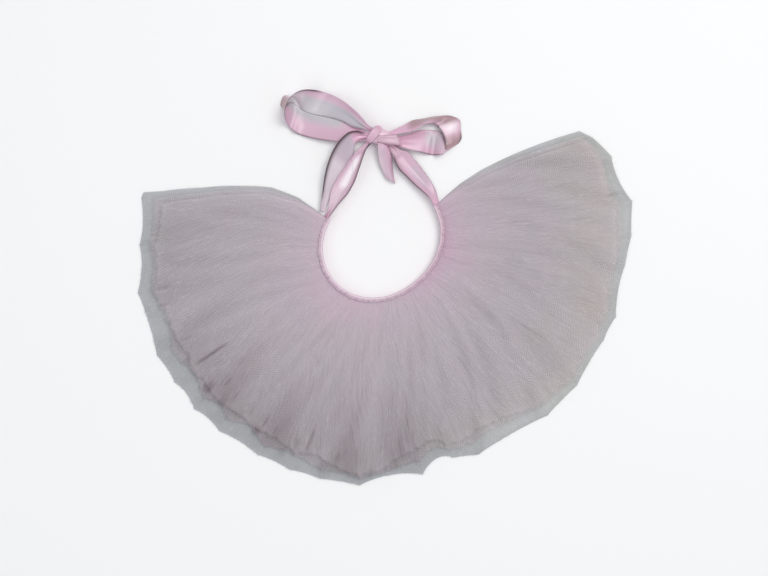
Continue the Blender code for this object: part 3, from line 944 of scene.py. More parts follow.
# painted shade near the left and lower hem changes this much along the strip
HEM_SHADE_CHANGE, HEM_SHADE_CHANGES = 0.7, 19
WARM_REACH = 180.0  # mm to the right, where painted light makes the net warmest and lightest
WARM_FROM, WARM_BY = 1.0, 2.2
GLOW_LEAST = 0.35
GATHERED_MORE, GATHERED_SHARE = 1.2, 0.12
STEEPEST, SLOPE_POWER = 0.3, 0.18
HEM_LEAST = 0.3


def thickness_at(share, angle):
    """How much thicker than usual the net lies near the hem, as a share of its usual cover."""
    part = np.clip((share - THICK_FROM) / THICK_OVER, 0, 1)
    return (read(HEM_LINES, "angle", "thick", angle) - 1) * part


def bunching(mesh, share, angle):
    """How many times over the net covers each point, from its gathering, slope and folds."""
    normals = np.empty(3 * len(mesh.vertices))
    mesh.vertices.foreach_get("normal", normals)
    upright = np.clip(np.abs(normals.reshape(-1, 3)[:, 2]), STEEPEST, 1.0)
    gathered = 1.0 + GATHERED_MORE * np.exp(-share / GATHERED_SHARE)
    return gathered * (1 + thickness_at(share, angle)) / upright**SLOPE_POWER


def store_layer(mesh, layer, across, along, points, share, angle):
    """Stores where a layer has painted crease and hem shade, painted warm light, glow and bunching.
    """
    radius = np.hypot(points[:, 0], points[:, 1])
    # painted shade near the left and lower hem and in the creases, and painted light towards the
    # right hem
    murk = layer.murk * np.clip(thickness_at(share, angle), 0, 1)
    murk *= 1 + HEM_SHADE_CHANGE * wobble(across, HEM_SHADE_CHANGES, RIPPLE_SIZE)
    fold_and_hem_shade = CREASE_SHADE * ridges(CREASES, angle, radius, CREASE_RISE) + murk
    warmth = np.clip(points[:, 0] / WARM_REACH, 0, 1) * np.clip(share * WARM_BY - WARM_FROM, 0, 1)
    facing = np.clip(np.cos(np.radians(angle - GLOW_ANGLE)), 0, 1)
    glow = np.exp(-share / GLOW_SHARE) * (GLOW_LEAST + (1 - GLOW_LEAST) * facing)
    hem = 1 + (along > 1 - CUT_EDGE)
    if layer.ply:
        hem = np.clip((1 - along) / HEM_FADE, HEM_LEAST, 1)
    store(mesh, "crease", np.clip(fold_and_hem_shade, 0, MOST_CREASED))
    store(mesh, "ply", np.full_like(share, layer.ply))
    store(mesh, "warmth", warmth)
    store(mesh, "glow", glow)
    store(mesh, "share", np.clip(share, 0, 1))
    store(mesh, "bunching", hem * bunching(mesh, share, angle))


print("loose hems fade over", round(HEM_FADE * STRIP_DROP / MM, 1), "mm")

# %% Make the three layers
COLUMNS, ROWS = 1200, 56
for layer in LAYERS:
    mesh, across, along = grid_mesh(layer.node + "_net", COLUMNS, ROWS)
    points, share, angle = layer_points(layer, across, along)
    set_points(mesh, points)
    store_flat_map(mesh, across * STRIP_LENGTH, share * STRIP_DROP)
    store_layer(mesh, layer, across, along, points, share, angle)
    slot_name, material = ("tulle", skirt_material) if layer.ply else ("tulle_rim", rim_material)
    net = cloth_object(mesh, [layer.node], material)
    print(net.name, "with", len(net.data.vertices), "points")

# %% [markdown]
# ## Satin ribbon
#
# The waistband, ties, bow and tails are one satin ribbon, 22 mm wide. Satin is woven so that long
# threads lie side by side on its face, which gives it a soft gloss, and a firm cord runs down
# each edge. The threads are far too fine to model, so they are a bump on the ribbon's own flat
# coordinates. The pattern is a node group, because the pink satin and its paler copy on the
# waistband, whose paleness is painted light, both use it.

# %% The weave, as a node group
RIBBON_WIDTH = 22.0
THREADS_PER_METRE, BREAKS_PER_METRE = 2600.0, 160.0
CORD_FROM, CORD_TO = 0.0009, 0.0004  # metres from the ribbon's edge


def satin_weave():
    """Puts out the height of the long threads, and 1 on the firm edge cords."""
    group, given, out = new_group(
        "satin_weave",
        {"Flat": ("NodeSocketVector", None), "Width": ("NodeSocketFloat", RIBBON_WIDTH * MM)},
        {"Threads": "NodeSocketFloat", "Cords": "NodeSocketFloat"},
    )
    flat = given.outputs["Flat"]
    stretched = vector_node(group, "MULTIPLY", flat, (THREADS_PER_METRE, BREAKS_PER_METRE, 0.0))
    floats = add_node(group, "ShaderNodeTexNoise", Vector=stretched, Scale=1.0, Detail=2.0)
    group.links.new(floats.outputs[0], out.inputs["Threads"])
    across = add_node(group, "ShaderNodeSeparateXYZ", flat).outputs["X"]
    other_side = math_node(group, "SUBTRACT", given.outputs["Width"], across)
    from_edge = math_node(group, "MINIMUM", across, other_side)
    cords = in_range(group, from_edge, CORD_TO, CORD_FROM, 1.0, 0.0)
    group.links.new(cords, out.inputs["Cords"])
    return group


SATIN_WEAVE = satin_weave()
print("weave group with", len(SATIN_WEAVE.nodes), "nodes")

# %% The satin's material
Satin = namedtuple("Satin", "face shade cool bright deep line")
# painted tones: a grey-lavender painted sheen, painted light, painted shade, and near-black painted
# shadow lines along the edges
TONES = ("cool", "bright", "deep", "line")
PINK_SATIN = Satin(
    face=(0.78, 0.45, 0.61),
    shade=(0.68, 0.36, 0.51),
    cool=(0.53, 0.50, 0.55),
    bright=(0.96, 0.88, 0.93),
    deep=(0.42, 0.26, 0.29),
    line=(0.04, 0.012, 0.018),
)
# the waistband's satin: the same ribbon drawn paler as painted light, with its own painted shade
# and shadow lines
LIT_SATIN = PINK_SATIN._replace(
    face=(0.90, 0.71, 0.81),
    shade=(0.80, 0.60, 0.70),
    deep=(0.60, 0.42, 0.50),
    line=(0.30, 0.20, 0.24),
)
SATIN_ROUGHNESS, SMOOTHEST, ROUGHEST = 0.36, 0.28, 0.45
SATIN_CLOUDS, SATIN_CLOUDED = 55.0, 0.45
CORD_HEIGHT = 2.0  # of an edge cord, in threads
WEAVE_STRENGTH, WEAVE_DEPTH = 0.30, 0.00012


def satin_material(name, satin):
    """Glossy ribbon: dyed unevenly, with the painted sheen, light, shade and edge shadows the mesh
    stores.
    """
    material = plain_material(name, satin.face, SATIN_ROUGHNESS)
    tree = material.node_tree
    color = tinted(tree, satin.face, satin.shade, SATIN_CLOUDS, SATIN_CLOUDED)
    for tone in TONES:
        color = mix_colors(tree, attribute(tree, tone), color, getattr(satin, tone))
    weave = place_group(tree, SATIN_WEAVE, Flat=flat_map(tree), Width=RIBBON_WIDTH * MM)
    threads, cords = weave.outputs["Threads"], weave.outputs["Cords"]
    height = math_node(tree, "ADD", threads, math_node(tree, "MULTIPLY", cords, CORD_HEIGHT))
    bump = add_node(
        tree, "ShaderNodeBump", Strength=WEAVE_STRENGTH, Distance=WEAVE_DEPTH, Height=height
    )
    finish = {
        "Base Color": color,
        "Roughness": in_range(tree, threads, 0.0, 1.0, SMOOTHEST, ROUGHEST),
        "Normal": bump.outputs[0],
        "Coat Weight": 0.12,
        "Coat Roughness": 0.3,
        "Specular IOR Level": 0.8,
    }
    fill(tree, tree.nodes["Principled BSDF"], finish)
    return material


pink_satin = satin_material("pink_satin", PINK_SATIN)
lit_satin = satin_material("lit_satin", LIT_SATIN)
print("satin material with", len(pink_satin.node_tree.nodes), "nodes")

# %% [markdown]
# ## The waistband
#
# The ribbon is folded lengthwise over the gathered edge: one half stands inside the waist, the
# other lies on the gathers. A section of the fold is drawn as a table, smoothed, and swept round
# the waist. A bevelled curve could be swept too, but it would not let each place on the section
# move by itself, and the stitches pull the lower edge in, so that it puckers once for each gather.

# %% A smooth curve through a table
def curve_value(table, place):
    """Rows at fractional places in a table, on a smooth curve through the rows."""
    rows = np.array(table)
    start = np.clip(np.floor(place).astype(int), 0, len(rows) - 2)
    t = (place - start)[:, None]
    a, b, c, d = (rows[np.clip(start + k, 0, len(rows) - 1)] for k in (-1, 0, 1, 2))
    straight = b + 0.5 * t * (c - a)
    bend = t * t * (a - 2.5 * b + 2 * c - 0.5 * d)
    return straight + bend + t**3 * (-0.5 * a + 1.5 * b - 1.5 * c + 0.5 * d)


halfway = curve_value([(0.0,), (0.0,), (1.0,), (1.0,)], np.array([1.5]))
print("half way between rows of 0 and 1:", halfway[0, 0])

# %% Sweep the folded ribbon round the waist
BandPoint = namedtuple("BandPoint", "out z")
BAND = [
    BandPoint(1.30, 0.40),
    BandPoint(0.80, 4.00),
    BandPoint(0.60, 7.60),
    BandPoint(0.90, 8.90),
    BandPoint(1.75, 9.40),
    BandPoint(2.60, 8.70),
    BandPoint(3.50, 7.00),
    BandPoint(4.70, 5.20),
]
BAND_FROM, BAND_TO = -202.5, 33.5
BAND_STEPS, BAND_ACROSS = 480, 26
BAND_FOLD = 0.42  # the fold's place across the ribbon, which lies in shade
BAND_OUTSIDE, BAND_EDGE = 0.45, 0.4  # where its outer half starts, and how soon it puckers
PUCKER, PULLED_IN = 0.9, 0.8  # mm down, and the share of that towards the waist
PUCKER_STRAY, PUCKER_TURN = 0.9, 0.25  # in puckers
PUCKER_USUAL, PUCKER_CHANGE = 0.65, 0.35
LEAN, LEANS, LEAN_BY = 0.25, 16, 3
# painted shade on the inner wall, along the fold and in the puckers, and on the band's right half
INSIDE_SHADE, FOLD_SHADE, FOLD_SHADE_WIDTH = 0.22, 0.38, 0.09
PUCKER_LINE, PUCKER_DEEP, RIGHT_DEEP = 0.12, 0.3, 0.5
BAND_THICKNESS = 0.35


def make_band():
    """The folded ribbon, puckered along its outer edge."""
    mesh, around, over = grid_mesh("waistband_ribbon", BAND_STEPS, BAND_ACROSS)
    section = curve_value(BAND, over * (len(BAND) - 1))
    angle = BAND_FROM + (BAND_TO - BAND_FROM) * around
    edge = np.clip((over - BAND_OUTSIDE) / BAND_EDGE, 0, 1)
    stray = PUCKER_STRAY * wobble(around, GATHERED.strays, GATHER_SHIFT)
    groove = crest(GATHERED.count * around + stray + PUCKER_TURN * edge)
    change = PUCKER_CHANGE * wobble(around, GATHERED.changes, GATHER_SIZE)
    pucker = -PUCKER * groove * (PUCKER_USUAL + change)
    lean = LEAN * wobble(around, LEANS, RIPPLE_SHIFT) * np.clip(over * LEAN_BY, 0, 1)
    radius = waist_radius(angle) + section[:, 0] + PULLED_IN * pucker * edge + lean
    set_points(mesh, round_waist(angle, radius, section[:, 1] + pucker * edge))
    band_length = math.radians(BAND_TO - BAND_FROM) * WAIST_RADIUS * MM
    store_flat_map(mesh, over * RIBBON_WIDTH * MM, around * band_length)
    # painted shade: inner wall and fold, puckers, and the band's right half
    fold_shade = FOLD_SHADE * np.exp(-(((over - BAND_FOLD) / FOLD_SHADE_WIDTH) ** 2))
    inner_shade = INSIDE_SHADE * (over < BAND_FOLD) + fold_shade
    right_deep = RIGHT_DEEP * np.clip(np.cos(np.radians(angle)), 0, 1)
    store(mesh, "line", np.maximum(inner_shade, PUCKER_LINE * groove**3 * edge))
    store(mesh, "deep", PUCKER_DEEP * groove**2 * edge + right_deep)
    piece = cloth_object(mesh, ["waistband"], lit_satin, BAND_THICKNESS)
    return piece


band = make_band()
print(band.name, "round", round(BAND_TO - BAND_FROM), "degrees")

# %% [markdown]
# ## Stitches
#
# A running stitch holds the folded ribbon down on the gathers. Each stitch is a short, rounded
# bar of thread. An array along a curve would lay them all alike, and a hand-guided seam is never
# even, so a loop makes each one, turns it a little and moves it to its place.

# %% Sew the running stitch
STITCH_LENGTH, STITCH_THICKNESS = 1.9, 0.34
STITCH_OUT, STITCH_HEIGHT = 3.9, 6.5
STITCHES = 56
UNEVEN = 0.12  # how far a hand-guided stitch strays, in mm and in radians


def make_stitches():
    """All the stitches of the waistband as one mesh."""
    thread = bmesh.new()
    thick = STITCH_THICKNESS / 2
    for number in range(STITCHES):
        angle = BAND_FROM + (BAND_TO - BAND_FROM) * (number + 0.5) / STITCHES
        turn = math.radians(angle)
        radius = float(waist_radius(angle)) + STITCH_OUT + UNEVEN * math.sin(7.7 * number)
        made = bmesh.ops.create_uvsphere(thread, u_segments=8, v_segments=6, radius=1.0)["verts"]
        bmesh.ops.scale(thread, verts=made, vec=(thick, STITCH_LENGTH / 2, thick))
        slanted = Matrix.Rotation(turn + UNEVEN * math.sin(3.1 * number), 3, "Z")
        bmesh.ops.rotate(thread, verts=made, cent=(0, 0, 0), matrix=slanted)
        place = Vector((radius * math.cos(turn), radius * math.sin(turn), STITCH_HEIGHT))
        bmesh.ops.translate(thread, verts=made, vec=place)
    bmesh.ops.translate(thread, verts=thread.verts, vec=WAIST_MIDDLE)
    bmesh.ops.scale(thread, verts=thread.verts, vec=(MM, MM, MM))
    mesh = bpy.data.meshes.new("waist_stitches")
    thread.to_mesh(mesh)
    thread.free()
    return mesh


waist_stitches = make_stitches()
print(STITCHES, "stitches")

# %% The sewing thread
THREAD_FACE, THREAD_SHADE = (0.86, 0.62, 0.73), (0.72, 0.45, 0.58)
THREAD_ROUGHNESS, THREAD_CLOUDS, THREAD_CLOUDED = 0.55, 240.0, 0.8
TWISTS = 900.0
TWIST_STRENGTH, TWIST_DEPTH = 0.5, 0.0001


def thread_material():
    """Twisted sewing thread: a slanted stripe in the bump, and a little unevenness in the dye."""
    material = plain_material("pink_thread", THREAD_FACE, THREAD_ROUGHNESS)
    tree = material.node_tree
    place = tree.nodes.new("ShaderNodeTexCoord").outputs["Object"]
    twist = add_node(tree, "ShaderNodeTexWave", Vector=place, Scale=TWISTS)
    twist.bands_direction = "DIAGONAL"
    height = twist.outputs["Fac"]
    bump = add_node(
        tree, "ShaderNodeBump", Strength=TWIST_STRENGTH, Distance=TWIST_DEPTH, Height=height
    )
    color = tinted(tree, THREAD_FACE, THREAD_SHADE, THREAD_CLOUDS, THREAD_CLOUDED)
    fill(tree, tree.nodes["Principled BSDF"], {"Base Color": color, "Normal": bump.outputs[0]})
    return material


stitches = cloth_object(waist_stitches, [], thread_material())
print("sewn with", stitches.data.materials[0].name)

# %% [markdown]
# ## Ties, loops and tails
#
# Each stretch of ribbon follows a table of sections, because a ribbon on one curve would be as
# wide everywhere, and a real one leans, spreads and gathers. A section gives the ribbon's low
# edge, where its high edge is as seen from above, and how wide the ribbon is spread there. The
# high edge's height follows, since a ribbon can't stretch: if it is spread 20 mm and covers
# 12 mm in plan, it rises 16 mm. Where the ribbon is spread less than its width, near the knot
# and the waistband, the rest is folded to and fro beneath, as a real one is when it is gathered.

# %% The sections of the two ties
Section = namedtuple("Section", "low_x low_y low_z high_x high_y spread arch")
TIE_LEFT = [
    Section(-51.3, 21.3, 1.0, -47.4, 19.7, 10.0, 0.2),
    Section(-47.6, 28.8, 3.5, -43.2, 25.7, 9.6, 1.0),
    Section(-46.4, 38.7, 5.0, -36.9, 33.8, 12.0, 2.5),
    Section(-44.1, 47.3, 6.2, -29.7, 42.3, 16.0, 3.5),
    Section(-39.6, 55.8, 6.8, -23.9, 52.6, 16.6, 4.0),
    Section(-33.8, 64.4, 7.2, -19.8, 63.9, 14.6, 4.0),
    Section(-26.8, 74.6, 7.8, -16.5, 73.8, 11.0, 3.0),
    Section(-21.0, 81.2, 8.0, -13.1, 82.2, 8.6, 2.0),
    Section(-14.0, 87.0, 7.6, -9.0, 87.5, 5.4, 1.0),
    Section(-11.0, 92.0, 8.0, -7.5, 92.0, 4.0, 0.5),
]
TIE_RIGHT = [
    Section(52.5, 34.7, 1.0, 48.1, 31.7, 10.4, 0.2),
    Section(50.7, 41.4, 1.6, 42.8, 38.3, 11.6, -1.0),
    Section(47.3, 49.5, 2.0, 36.0, 44.6, 13.6, -2.0),
    Section(41.9, 58.1, 2.4, 28.8, 50.9, 15.6, -3.0),
    Section(35.1, 67.1, 2.8, 21.6, 58.1, 16.6, -3.0),
    Section(28.4, 75.2, 3.2, 15.8, 63.9, 17.2, -2.6),
    Section(23.4, 80.5, 3.4, 12.2, 70.7, 15.0, -2.0),
    Section(17.1, 82.4, 3.6, 9.6, 78.3, 8.8, -1.0),
    Section(10.4, 88.2, 4.6, 4.5, 85.5, 6.6, -0.5),
]
print("sections of the ties:", len(TIE_LEFT + TIE_RIGHT))

# %% The sections of the two tails
TAIL_LEFT = [
    Section(-9.9, 92.0, 11.0, -10.0, 96.3, 4.8, 0.5),
    Section(-15.8, 91.4, 10.0, -16.2, 96.8, 6.0, 1.0),
    Section(-20.3, 90.0, 10.6, -22.1, 98.1, 9.0, 1.2),
    Section(-23.9, 86.4, 10.4, -28.4, 97.2, 12.6, 1.4),
    Section(-24.2, 80.6, 8.0, -34.7, 92.7, 17.0, 1.4),
    Section(-26.0, 72.8, 4.6, -40.5, 86.0, 20.6, 1.4),
    Section(-29.2, 64.4, 2.0, -45.0, 77.9, 22.0, 0.8),
    Section(-34.2, 55.4, 1.2, -48.6, 68.0, 21.4, 0.8),
    Section(-40.0, 46.5, 1.2, -51.1, 57.2, 18.0, 1.2),
    Section(-45.2, 38.8, 1.2, -52.6, 46.8, 13.0, 1.6),
    Section(-49.0, 31.6, 1.2, -53.9, 35.4, 8.6, 1.2),
    Section(-50.6, 25.8, 1.2, -54.6, 26.8, 6.0, 0.8),
]
TAIL_RIGHT = [
    Section(3.6, 89.1, 8.6, -3.6, 90.9, 7.6, -1.0),
    Section(7.2, 81.9, 7.6, -3.4, 84.6, 11.4, -2.0),
    Section(9.4, 74.7, 4.6, -3.0, 77.4, 13.0, -3.0),
    Section(10.3, 66.6, 2.2, -1.6, 69.3, 12.6, -3.4),
    Section(11.3, 59.0, 1.2, 1.4, 62.1, 10.8, -3.6),
    Section(12.8, 51.3, 0.8, 4.4, 56.3, 10.2, -3.6),
]
print("sections of the tails:", len(TAIL_LEFT + TAIL_RIGHT))

# %% The sections of the two loops
LOOP_LEFT = [
    Section(-11.5, 96.2, 4.6, -11.5, 91.5, 5.6, -0.4),
    Section(-22.5, 102.6, 1.6, -22.5, 89.1, 14.6, -0.8),
    Section(-39.6, 109.4, 0.7, -41.4, 89.1, 21.4, -1.4),
    Section(-56.5, 113.2, 0.7, -61.2, 92.0, 22.0, -1.6),
    Section(-71.4, 118.4, 0.7, -77.9, 97.6, 22.0, -1.0),
    Section(-80.6, 125.6, 0.7, -85.6, 106.5, 22.0, 0.0),
    Section(-90.4, 121.5, 0.7, -86.0, 117.0, 22.0, 0.6),
    Section(-87.6, 130.6, 0.7, -81.5, 126.8, 22.0, 0.8),
    Section(-78.2, 127.4, 1.4, -73.4, 132.8, 22.0, 0.5),
    Section(-70.8, 117.8, 1.7, -62.0, 135.2, 22.0, 0.0),
    Section(-60.8, 114.2, 1.6, -50.3, 133.5, 22.0, -0.8),
    Section(-48.4, 111.6, 1.8, -36.0, 126.4, 21.0, -1.2),
    Section(-36.4, 108.2, 2.6, -25.6, 118.4, 17.4, -1.2),
    Section(-26.4, 102.6, 4.8, -18.2, 111.2, 13.6, -0.8),
    Section(-18.0, 99.8, 6.2, -13.0, 104.8, 8.2, -0.4),
    Section(-9.0, 98.0, 7.6, -7.8, 99.6, 4.0, 0.0),
]
LOOP_RIGHT = [
    Section(9.0, 92.3, 5.6, 9.0, 87.3, 5.4, -0.4),
    Section(18.9, 94.2, 4.2, 18.2, 84.0, 11.2, -0.8),
    Section(34.2, 99.4, 1.0, 32.4, 80.1, 20.4, -1.0),
    Section(43.0, 99.8, 0.7, 40.5, 78.2, 22.0, -0.8),
    Section(53.0, 98.0, 0.6, 48.6, 77.0, 21.7, -0.4),
    Section(67.2, 87.8, 0.6, 55.6, 78.2, 15.8, 0.0),
    Section(72.2, 91.8, 1.0, 57.6, 86.0, 16.4, 0.4),
    Section(71.8, 100.4, 1.2, 55.6, 95.0, 17.8, 0.8),
    Section(70.6, 109.0, 1.2, 51.5, 101.4, 21.2, 0.8),
    Section(61.2, 113.0, 1.0, 46.6, 105.2, 17.6, 0.6),
    Section(47.3, 112.4, 0.8, 39.6, 104.6, 17.6, 0.8),
    Section(36.9, 110.5, 1.2, 33.3, 100.6, 15.2, 0.8),
    Section(27.9, 108.9, 2.2, 27.0, 98.2, 14.0, 0.8),
    Section(18.9, 104.0, 4.0, 20.3, 96.6, 10.2, 0.6),
    Section(6.5, 97.8, 7.4, 8.0, 94.2, 5.0, 0.3),
]
print("sections of the loops:", len(LOOP_LEFT + LOOP_RIGHT))

# %% [markdown]
# Each ribbon also has a few words of its own. `front` says on which side of the sheet the spare
# width is folded away. Patches of painted sheen, painted light and painted shade are listed, and so
# are the painted shadow lines along the edges. In all of them, places along a ribbon count its
# sections, and `at` is 0 on its low edge and 1 on its high one.

# %% What is special to the ties and tails
# painted shadow lines along a ribbon's edges, and patches of painted sheen, light or shade
EdgeShadow = namedtuple("EdgeShadow", "start end at strength width", defaults=(0.95,))
Patch = namedtuple("Patch", "tone start end at strength reach soft")
Ribbon = namedtuple("Ribbon", "node sections front tuck_high lines patches")
TIES_AND_TAILS = [
    Ribbon(
        "tie_left",
        TIE_LEFT,
        1,
        True,
        [EdgeShadow(0.0, 9.0, 1.0, 1.0, 1.5)],
        [
            Patch("cool", 0.5, 8.5, 0.5, 0.3, 1.0, 1.0),
            Patch("bright", 0.3, 3.8, 0.4, 0.35, 0.5, 0.8),
            Patch("bright", 2.8, 6.6, 0.46, 1.0, 0.24, 0.3),
            Patch("deep", 4.0, 8.0, 1.0, 0.25, 0.3, 0.3),
        ],
    ),
    Ribbon(
        "tie_right",
        TIE_RIGHT,
        1,
        False,
        [EdgeShadow(0.5, 7.0, 1.0, 1.0, 1.5), EdgeShadow(0.5, 6.0, 0.0, 0.35)],
        [
            Patch("cool", 0.5, 8.0, 0.5, 0.3, 1.0, 1.0),
            Patch("cool", 1.6, 5.0, 0.35, 0.6, 0.4, 0.6),
            Patch("cool", 0.2, 2.6, 0.5, 0.3, 0.5, 0.6),
            Patch("deep", 4.5, 8.5, 1.0, 0.3, 0.4, 0.6),
        ],
    ),
    Ribbon(
        "tail_left",
        TAIL_LEFT,
        -1,
        False,
        [EdgeShadow(0.6, 10.0, 1.0, 1.0, 2.8), EdgeShadow(3.0, 9.0, 0.0, 0.45)],
        [
            Patch("cool", 2.6, 12.0, 0.6, 0.75, 1.6, 0.8),
            Patch("bright", 5.6, 12.0, 0.4, 0.42, 0.6, 0.6),
        ],
    ),
    Ribbon(
        "tail_right",
        TAIL_RIGHT,
        -1,
        False,
        [EdgeShadow(1.5, 5.0, 0.0, 0.5)],
        [
            Patch("cool", 0.3, 5.5, 1.0, 0.45, 0.8, 0.5),
            Patch("bright", 0.8, 4.6, 0.9, 0.3, 0.2, 0.2),
            Patch("deep", 1.5, 5.5, 0.0, 0.2, 0.3, 0.2),
        ],
    ),
]
print("ties and tails:", [ribbon.node for ribbon in TIES_AND_TAILS])

# %% What is special to the loops
LOOPS = [
    Ribbon(
        "loop_left",
        LOOP_LEFT,
        1,
        False,
        [EdgeShadow(1.5, 5.0, 1.0, 0.8), EdgeShadow(4.8, 10.0, 1.0, 1.0, 1.7)],
        [
            Patch("cool", 1.0, 15.0, 0.5, 0.32, 1.0, 1.0),
            Patch("cool", 1.2, 6.0, 0.0, 1.0, 0.42, 0.5),
            Patch("cool", 7.6, 14.6, 0.0, 1.0, 0.70, 0.22),
            Patch("bright", 8.0, 11.0, 0.3, 0.2, 0.6, 0.4),
            Patch("deep", 5.2, 7.4, 0.3, 1.0, 0.8, 0.4),
            Patch("bright", 6.9, 9.0, 0.0, 1.0, 0.8, 0.4),
        ],
    ),
    Ribbon(
        "loop_right",
        LOOP_RIGHT,
        1,
        False,
        [
            EdgeShadow(1.5, 5.0, 1.0, 0.8),
            EdgeShadow(5.6, 9.4, 1.0, 1.0, 1.3),
            EdgeShadow(4.2, 7.0, 0.0, 1.0, 1.5),
            EdgeShadow(4.2, 6.2, 1.0, 0.8, 1.3),
            EdgeShadow(8.0, 12.0, 0.0, 0.7),
        ],
        [
            Patch("cool", 0.8, 14.0, 0.5, 0.2, 1.0, 1.0),
            Patch("cool", 2.2, 4.8, 0.35, 0.85, 0.35, 0.5),
            Patch("cool", 3.0, 5.6, 0.5, 0.5, 0.5, 0.6),
            Patch("deep", 4.9, 7.0, 0.5, 1.0, 1.0, 0.6),
            Patch("deep", 7.6, 12.8, 0.0, 1.0, 0.8, 0.4),
            Patch("bright", 6.6, 9.0, 0.5, 0.75, 0.3, 0.5),
        ],
    ),
]
print("loops:", [ribbon.node for ribbon in LOOPS])

# %% Tones along a ribbon
TONE_FADE = 0.8  # sections over which a tone fades in and out


def inside(item, place):
    """1 between an item's start and end, fading to 0 at the two."""
    return np.clip(np.minimum(place - item.start, item.end - place) / TONE_FADE, 0, 1)


def edge_shadows(ribbon, place, width, t):
    """The painted shadow lines along the edges."""
    line = np.zeros_like(place)
    for edge in ribbon.lines:
        aside = np.abs(t - edge.at) * width
        falloff = np.exp(-((aside / edge.width) ** 2))
        line = np.maximum(line, edge.strength * inside(edge, place) * falloff)
    return line


def tone_parts(ribbon, tone, place, t):
    """How far the satin takes on a tone of painted sheen, light or shade, from the ribbon's
    patches.
    """
    total = np.zeros_like(place)
    for patch in ribbon.patches:
        if patch.tone == tone:
            part = np.clip((patch.reach - np.abs(t - patch.at)) / patch.soft + 0.5, 0, 1)
            total = np.maximum(total, patch.strength * inside(patch, place) * part)
    return total


print("a ribbon's tones:", TONES)

# %% Build the ribbons
STEPS_PER_SECTION, RIBBON_ACROSS = 12, 44
PLY_GAP = 0.42  # from one fold of a gathered ribbon to the next
RIBBON_THICKNESS = 0.22
PLEAT_HEIGHT, PLEATS, PINCH = 0.55, 2.5, 1.6
LOWEST = 0.2
NEAR_BY = 0.1  # sections: the step over which a ribbon's direction is measured


def ribbon_frame(sections, place):
    """The low edge, the step from the low edge to the high one, and the arch between them."""
    rows = curve_value(sections, place)
    low, plan, spread, arch = rows[:, 0:3], rows[:, 3:5] - rows[:, 0:2], rows[:, 5], rows[:, 6]
    rise = np.sqrt(np.clip(spread**2 - (plan**2).sum(axis=1), 0, None))
    return low, np.concatenate([plan, rise[:, None]], axis=1), arch


def middle(sections, place):
    """Points along the middle of a ribbon."""
    low, step, _ = ribbon_frame(sections, place)
    return low + step / 2


def unit(vectors):
    """Vectors of length 1."""
    return vectors / np.linalg.norm(vectors, axis=1, keepdims=True)


def fold_to_and_fro(ribbon, across, width):
    """Where each point across the flat ribbon lies on the spread one, and how many folds under."""
    from_open = across * RIBBON_WIDTH if ribbon.tuck_high else RIBBON_WIDTH - across * RIBBON_WIDTH
    turns = from_open / width
    ply = np.floor(turns)
    part = turns - ply
    folded = np.where(ply % 2 == 0, part, 1 - part)
    under = ply + np.clip((part - 0.9) / 0.1, 0, 1) * (turns < RIBBON_WIDTH / width)
    return folded if ribbon.tuck_high else 1 - folded, under


def make_ribbon(ribbon):
    """A stretch of ribbon through its sections, with its spare width folded beneath."""
    last = len(ribbon.sections) - 1
    steps = last * STEPS_PER_SECTION
    mesh, across, along = grid_mesh(ribbon.node + "_satin", RIBBON_ACROSS, steps)
    place = along * last
    low, step, arch = ribbon_frame(ribbon.sections, place)
    before = middle(ribbon.sections, np.clip(place - NEAR_BY, 0, last))
    after = middle(ribbon.sections, np.clip(place + NEAR_BY, 0, last))
    out = unit(np.cross(after - before, step))

    width = np.minimum(np.linalg.norm(step, axis=1), RIBBON_WIDTH)
    t, under = fold_to_and_fro(ribbon, across, width)
    pinch = np.clip(PINCH * (1 - width / RIBBON_WIDTH), 0, 1)
    pleat = PLEAT_HEIGHT * pinch * (0.5 - 0.5 * np.cos(2 * np.pi * PLEATS * t)) * np.sin(np.pi * t)
    bulge = arch * np.sin(np.pi * t) + ribbon.front * (pleat - PLY_GAP * under)
    points = low + step * t[:, None] + out * bulge[:, None]
    points[:, 2] = np.maximum(points[:, 2], LOWEST)
    set_points(mesh, points)

    center_line = middle(ribbon.sections, np.linspace(0, last, steps))
    length = np.linalg.norm(np.diff(center_line, axis=0), axis=1).sum() * MM
    store_flat_map(mesh, across * RIBBON_WIDTH * MM, along * length)
    # painted shadow lines along the edges, then painted sheen, light and shade
    store(mesh, "line", edge_shadows(ribbon, place, width, t))
    for tone in TONES[:-1]:
        store(mesh, tone, tone_parts(ribbon, tone, place, t))
    piece = cloth_object(mesh, [ribbon.node], pink_satin, RIBBON_THICKNESS)
    print(f"{piece.name}: {length / MM:.0f} mm of ribbon")


for ribbon in TIES_AND_TAILS + LOOPS:
    make_ribbon(ribbon)

# %% [markdown]
# ## The knot
#
# The middle of the bow is ribbon pulled tight. A ribbon threaded through itself would take dozens
# of sections, and most of it would be hidden. Three pieces give what shows: a pleated core that
# all the stretches run into, a band of ribbon wrapped across it on a slant, and a flat flap where
# the ribbon leaves for the right loop.

# %% The core of the knot
KnotSection = namedtuple("KnotSection", "along centre_y half_y centre_z half_z")
KNOT = [
    KnotSection(-1.0, 93.0, 5.4, 8.2, 3.6),
    KnotSection(-0.5, 94.0, 7.4, 7.6, 5.6),
    KnotSection(0.0, 93.4, 7.2, 7.2, 5.8),
    KnotSection(0.5, 91.4, 6.8, 6.6, 4.6),
    KnotSection(1.0, 90.4, 6.0, 6.4, 3.6),
]
KNOT_LEFT, KNOT_RIGHT = -15.0, 17.0
KNOT_SIZE = 0.96
KNOT_PLEATS, KNOT_PLEAT_DEPTH = 11, 0.16
PLEAT_SWING, MIDDLE_PLEATS, MIDDLE_LINES = 0.25, 0.35, 0.2  # pleats are shallow at the middle
KNOT_FLAT = (0.011, 0.016)  # metres of satin for half a turn round the core and half along it


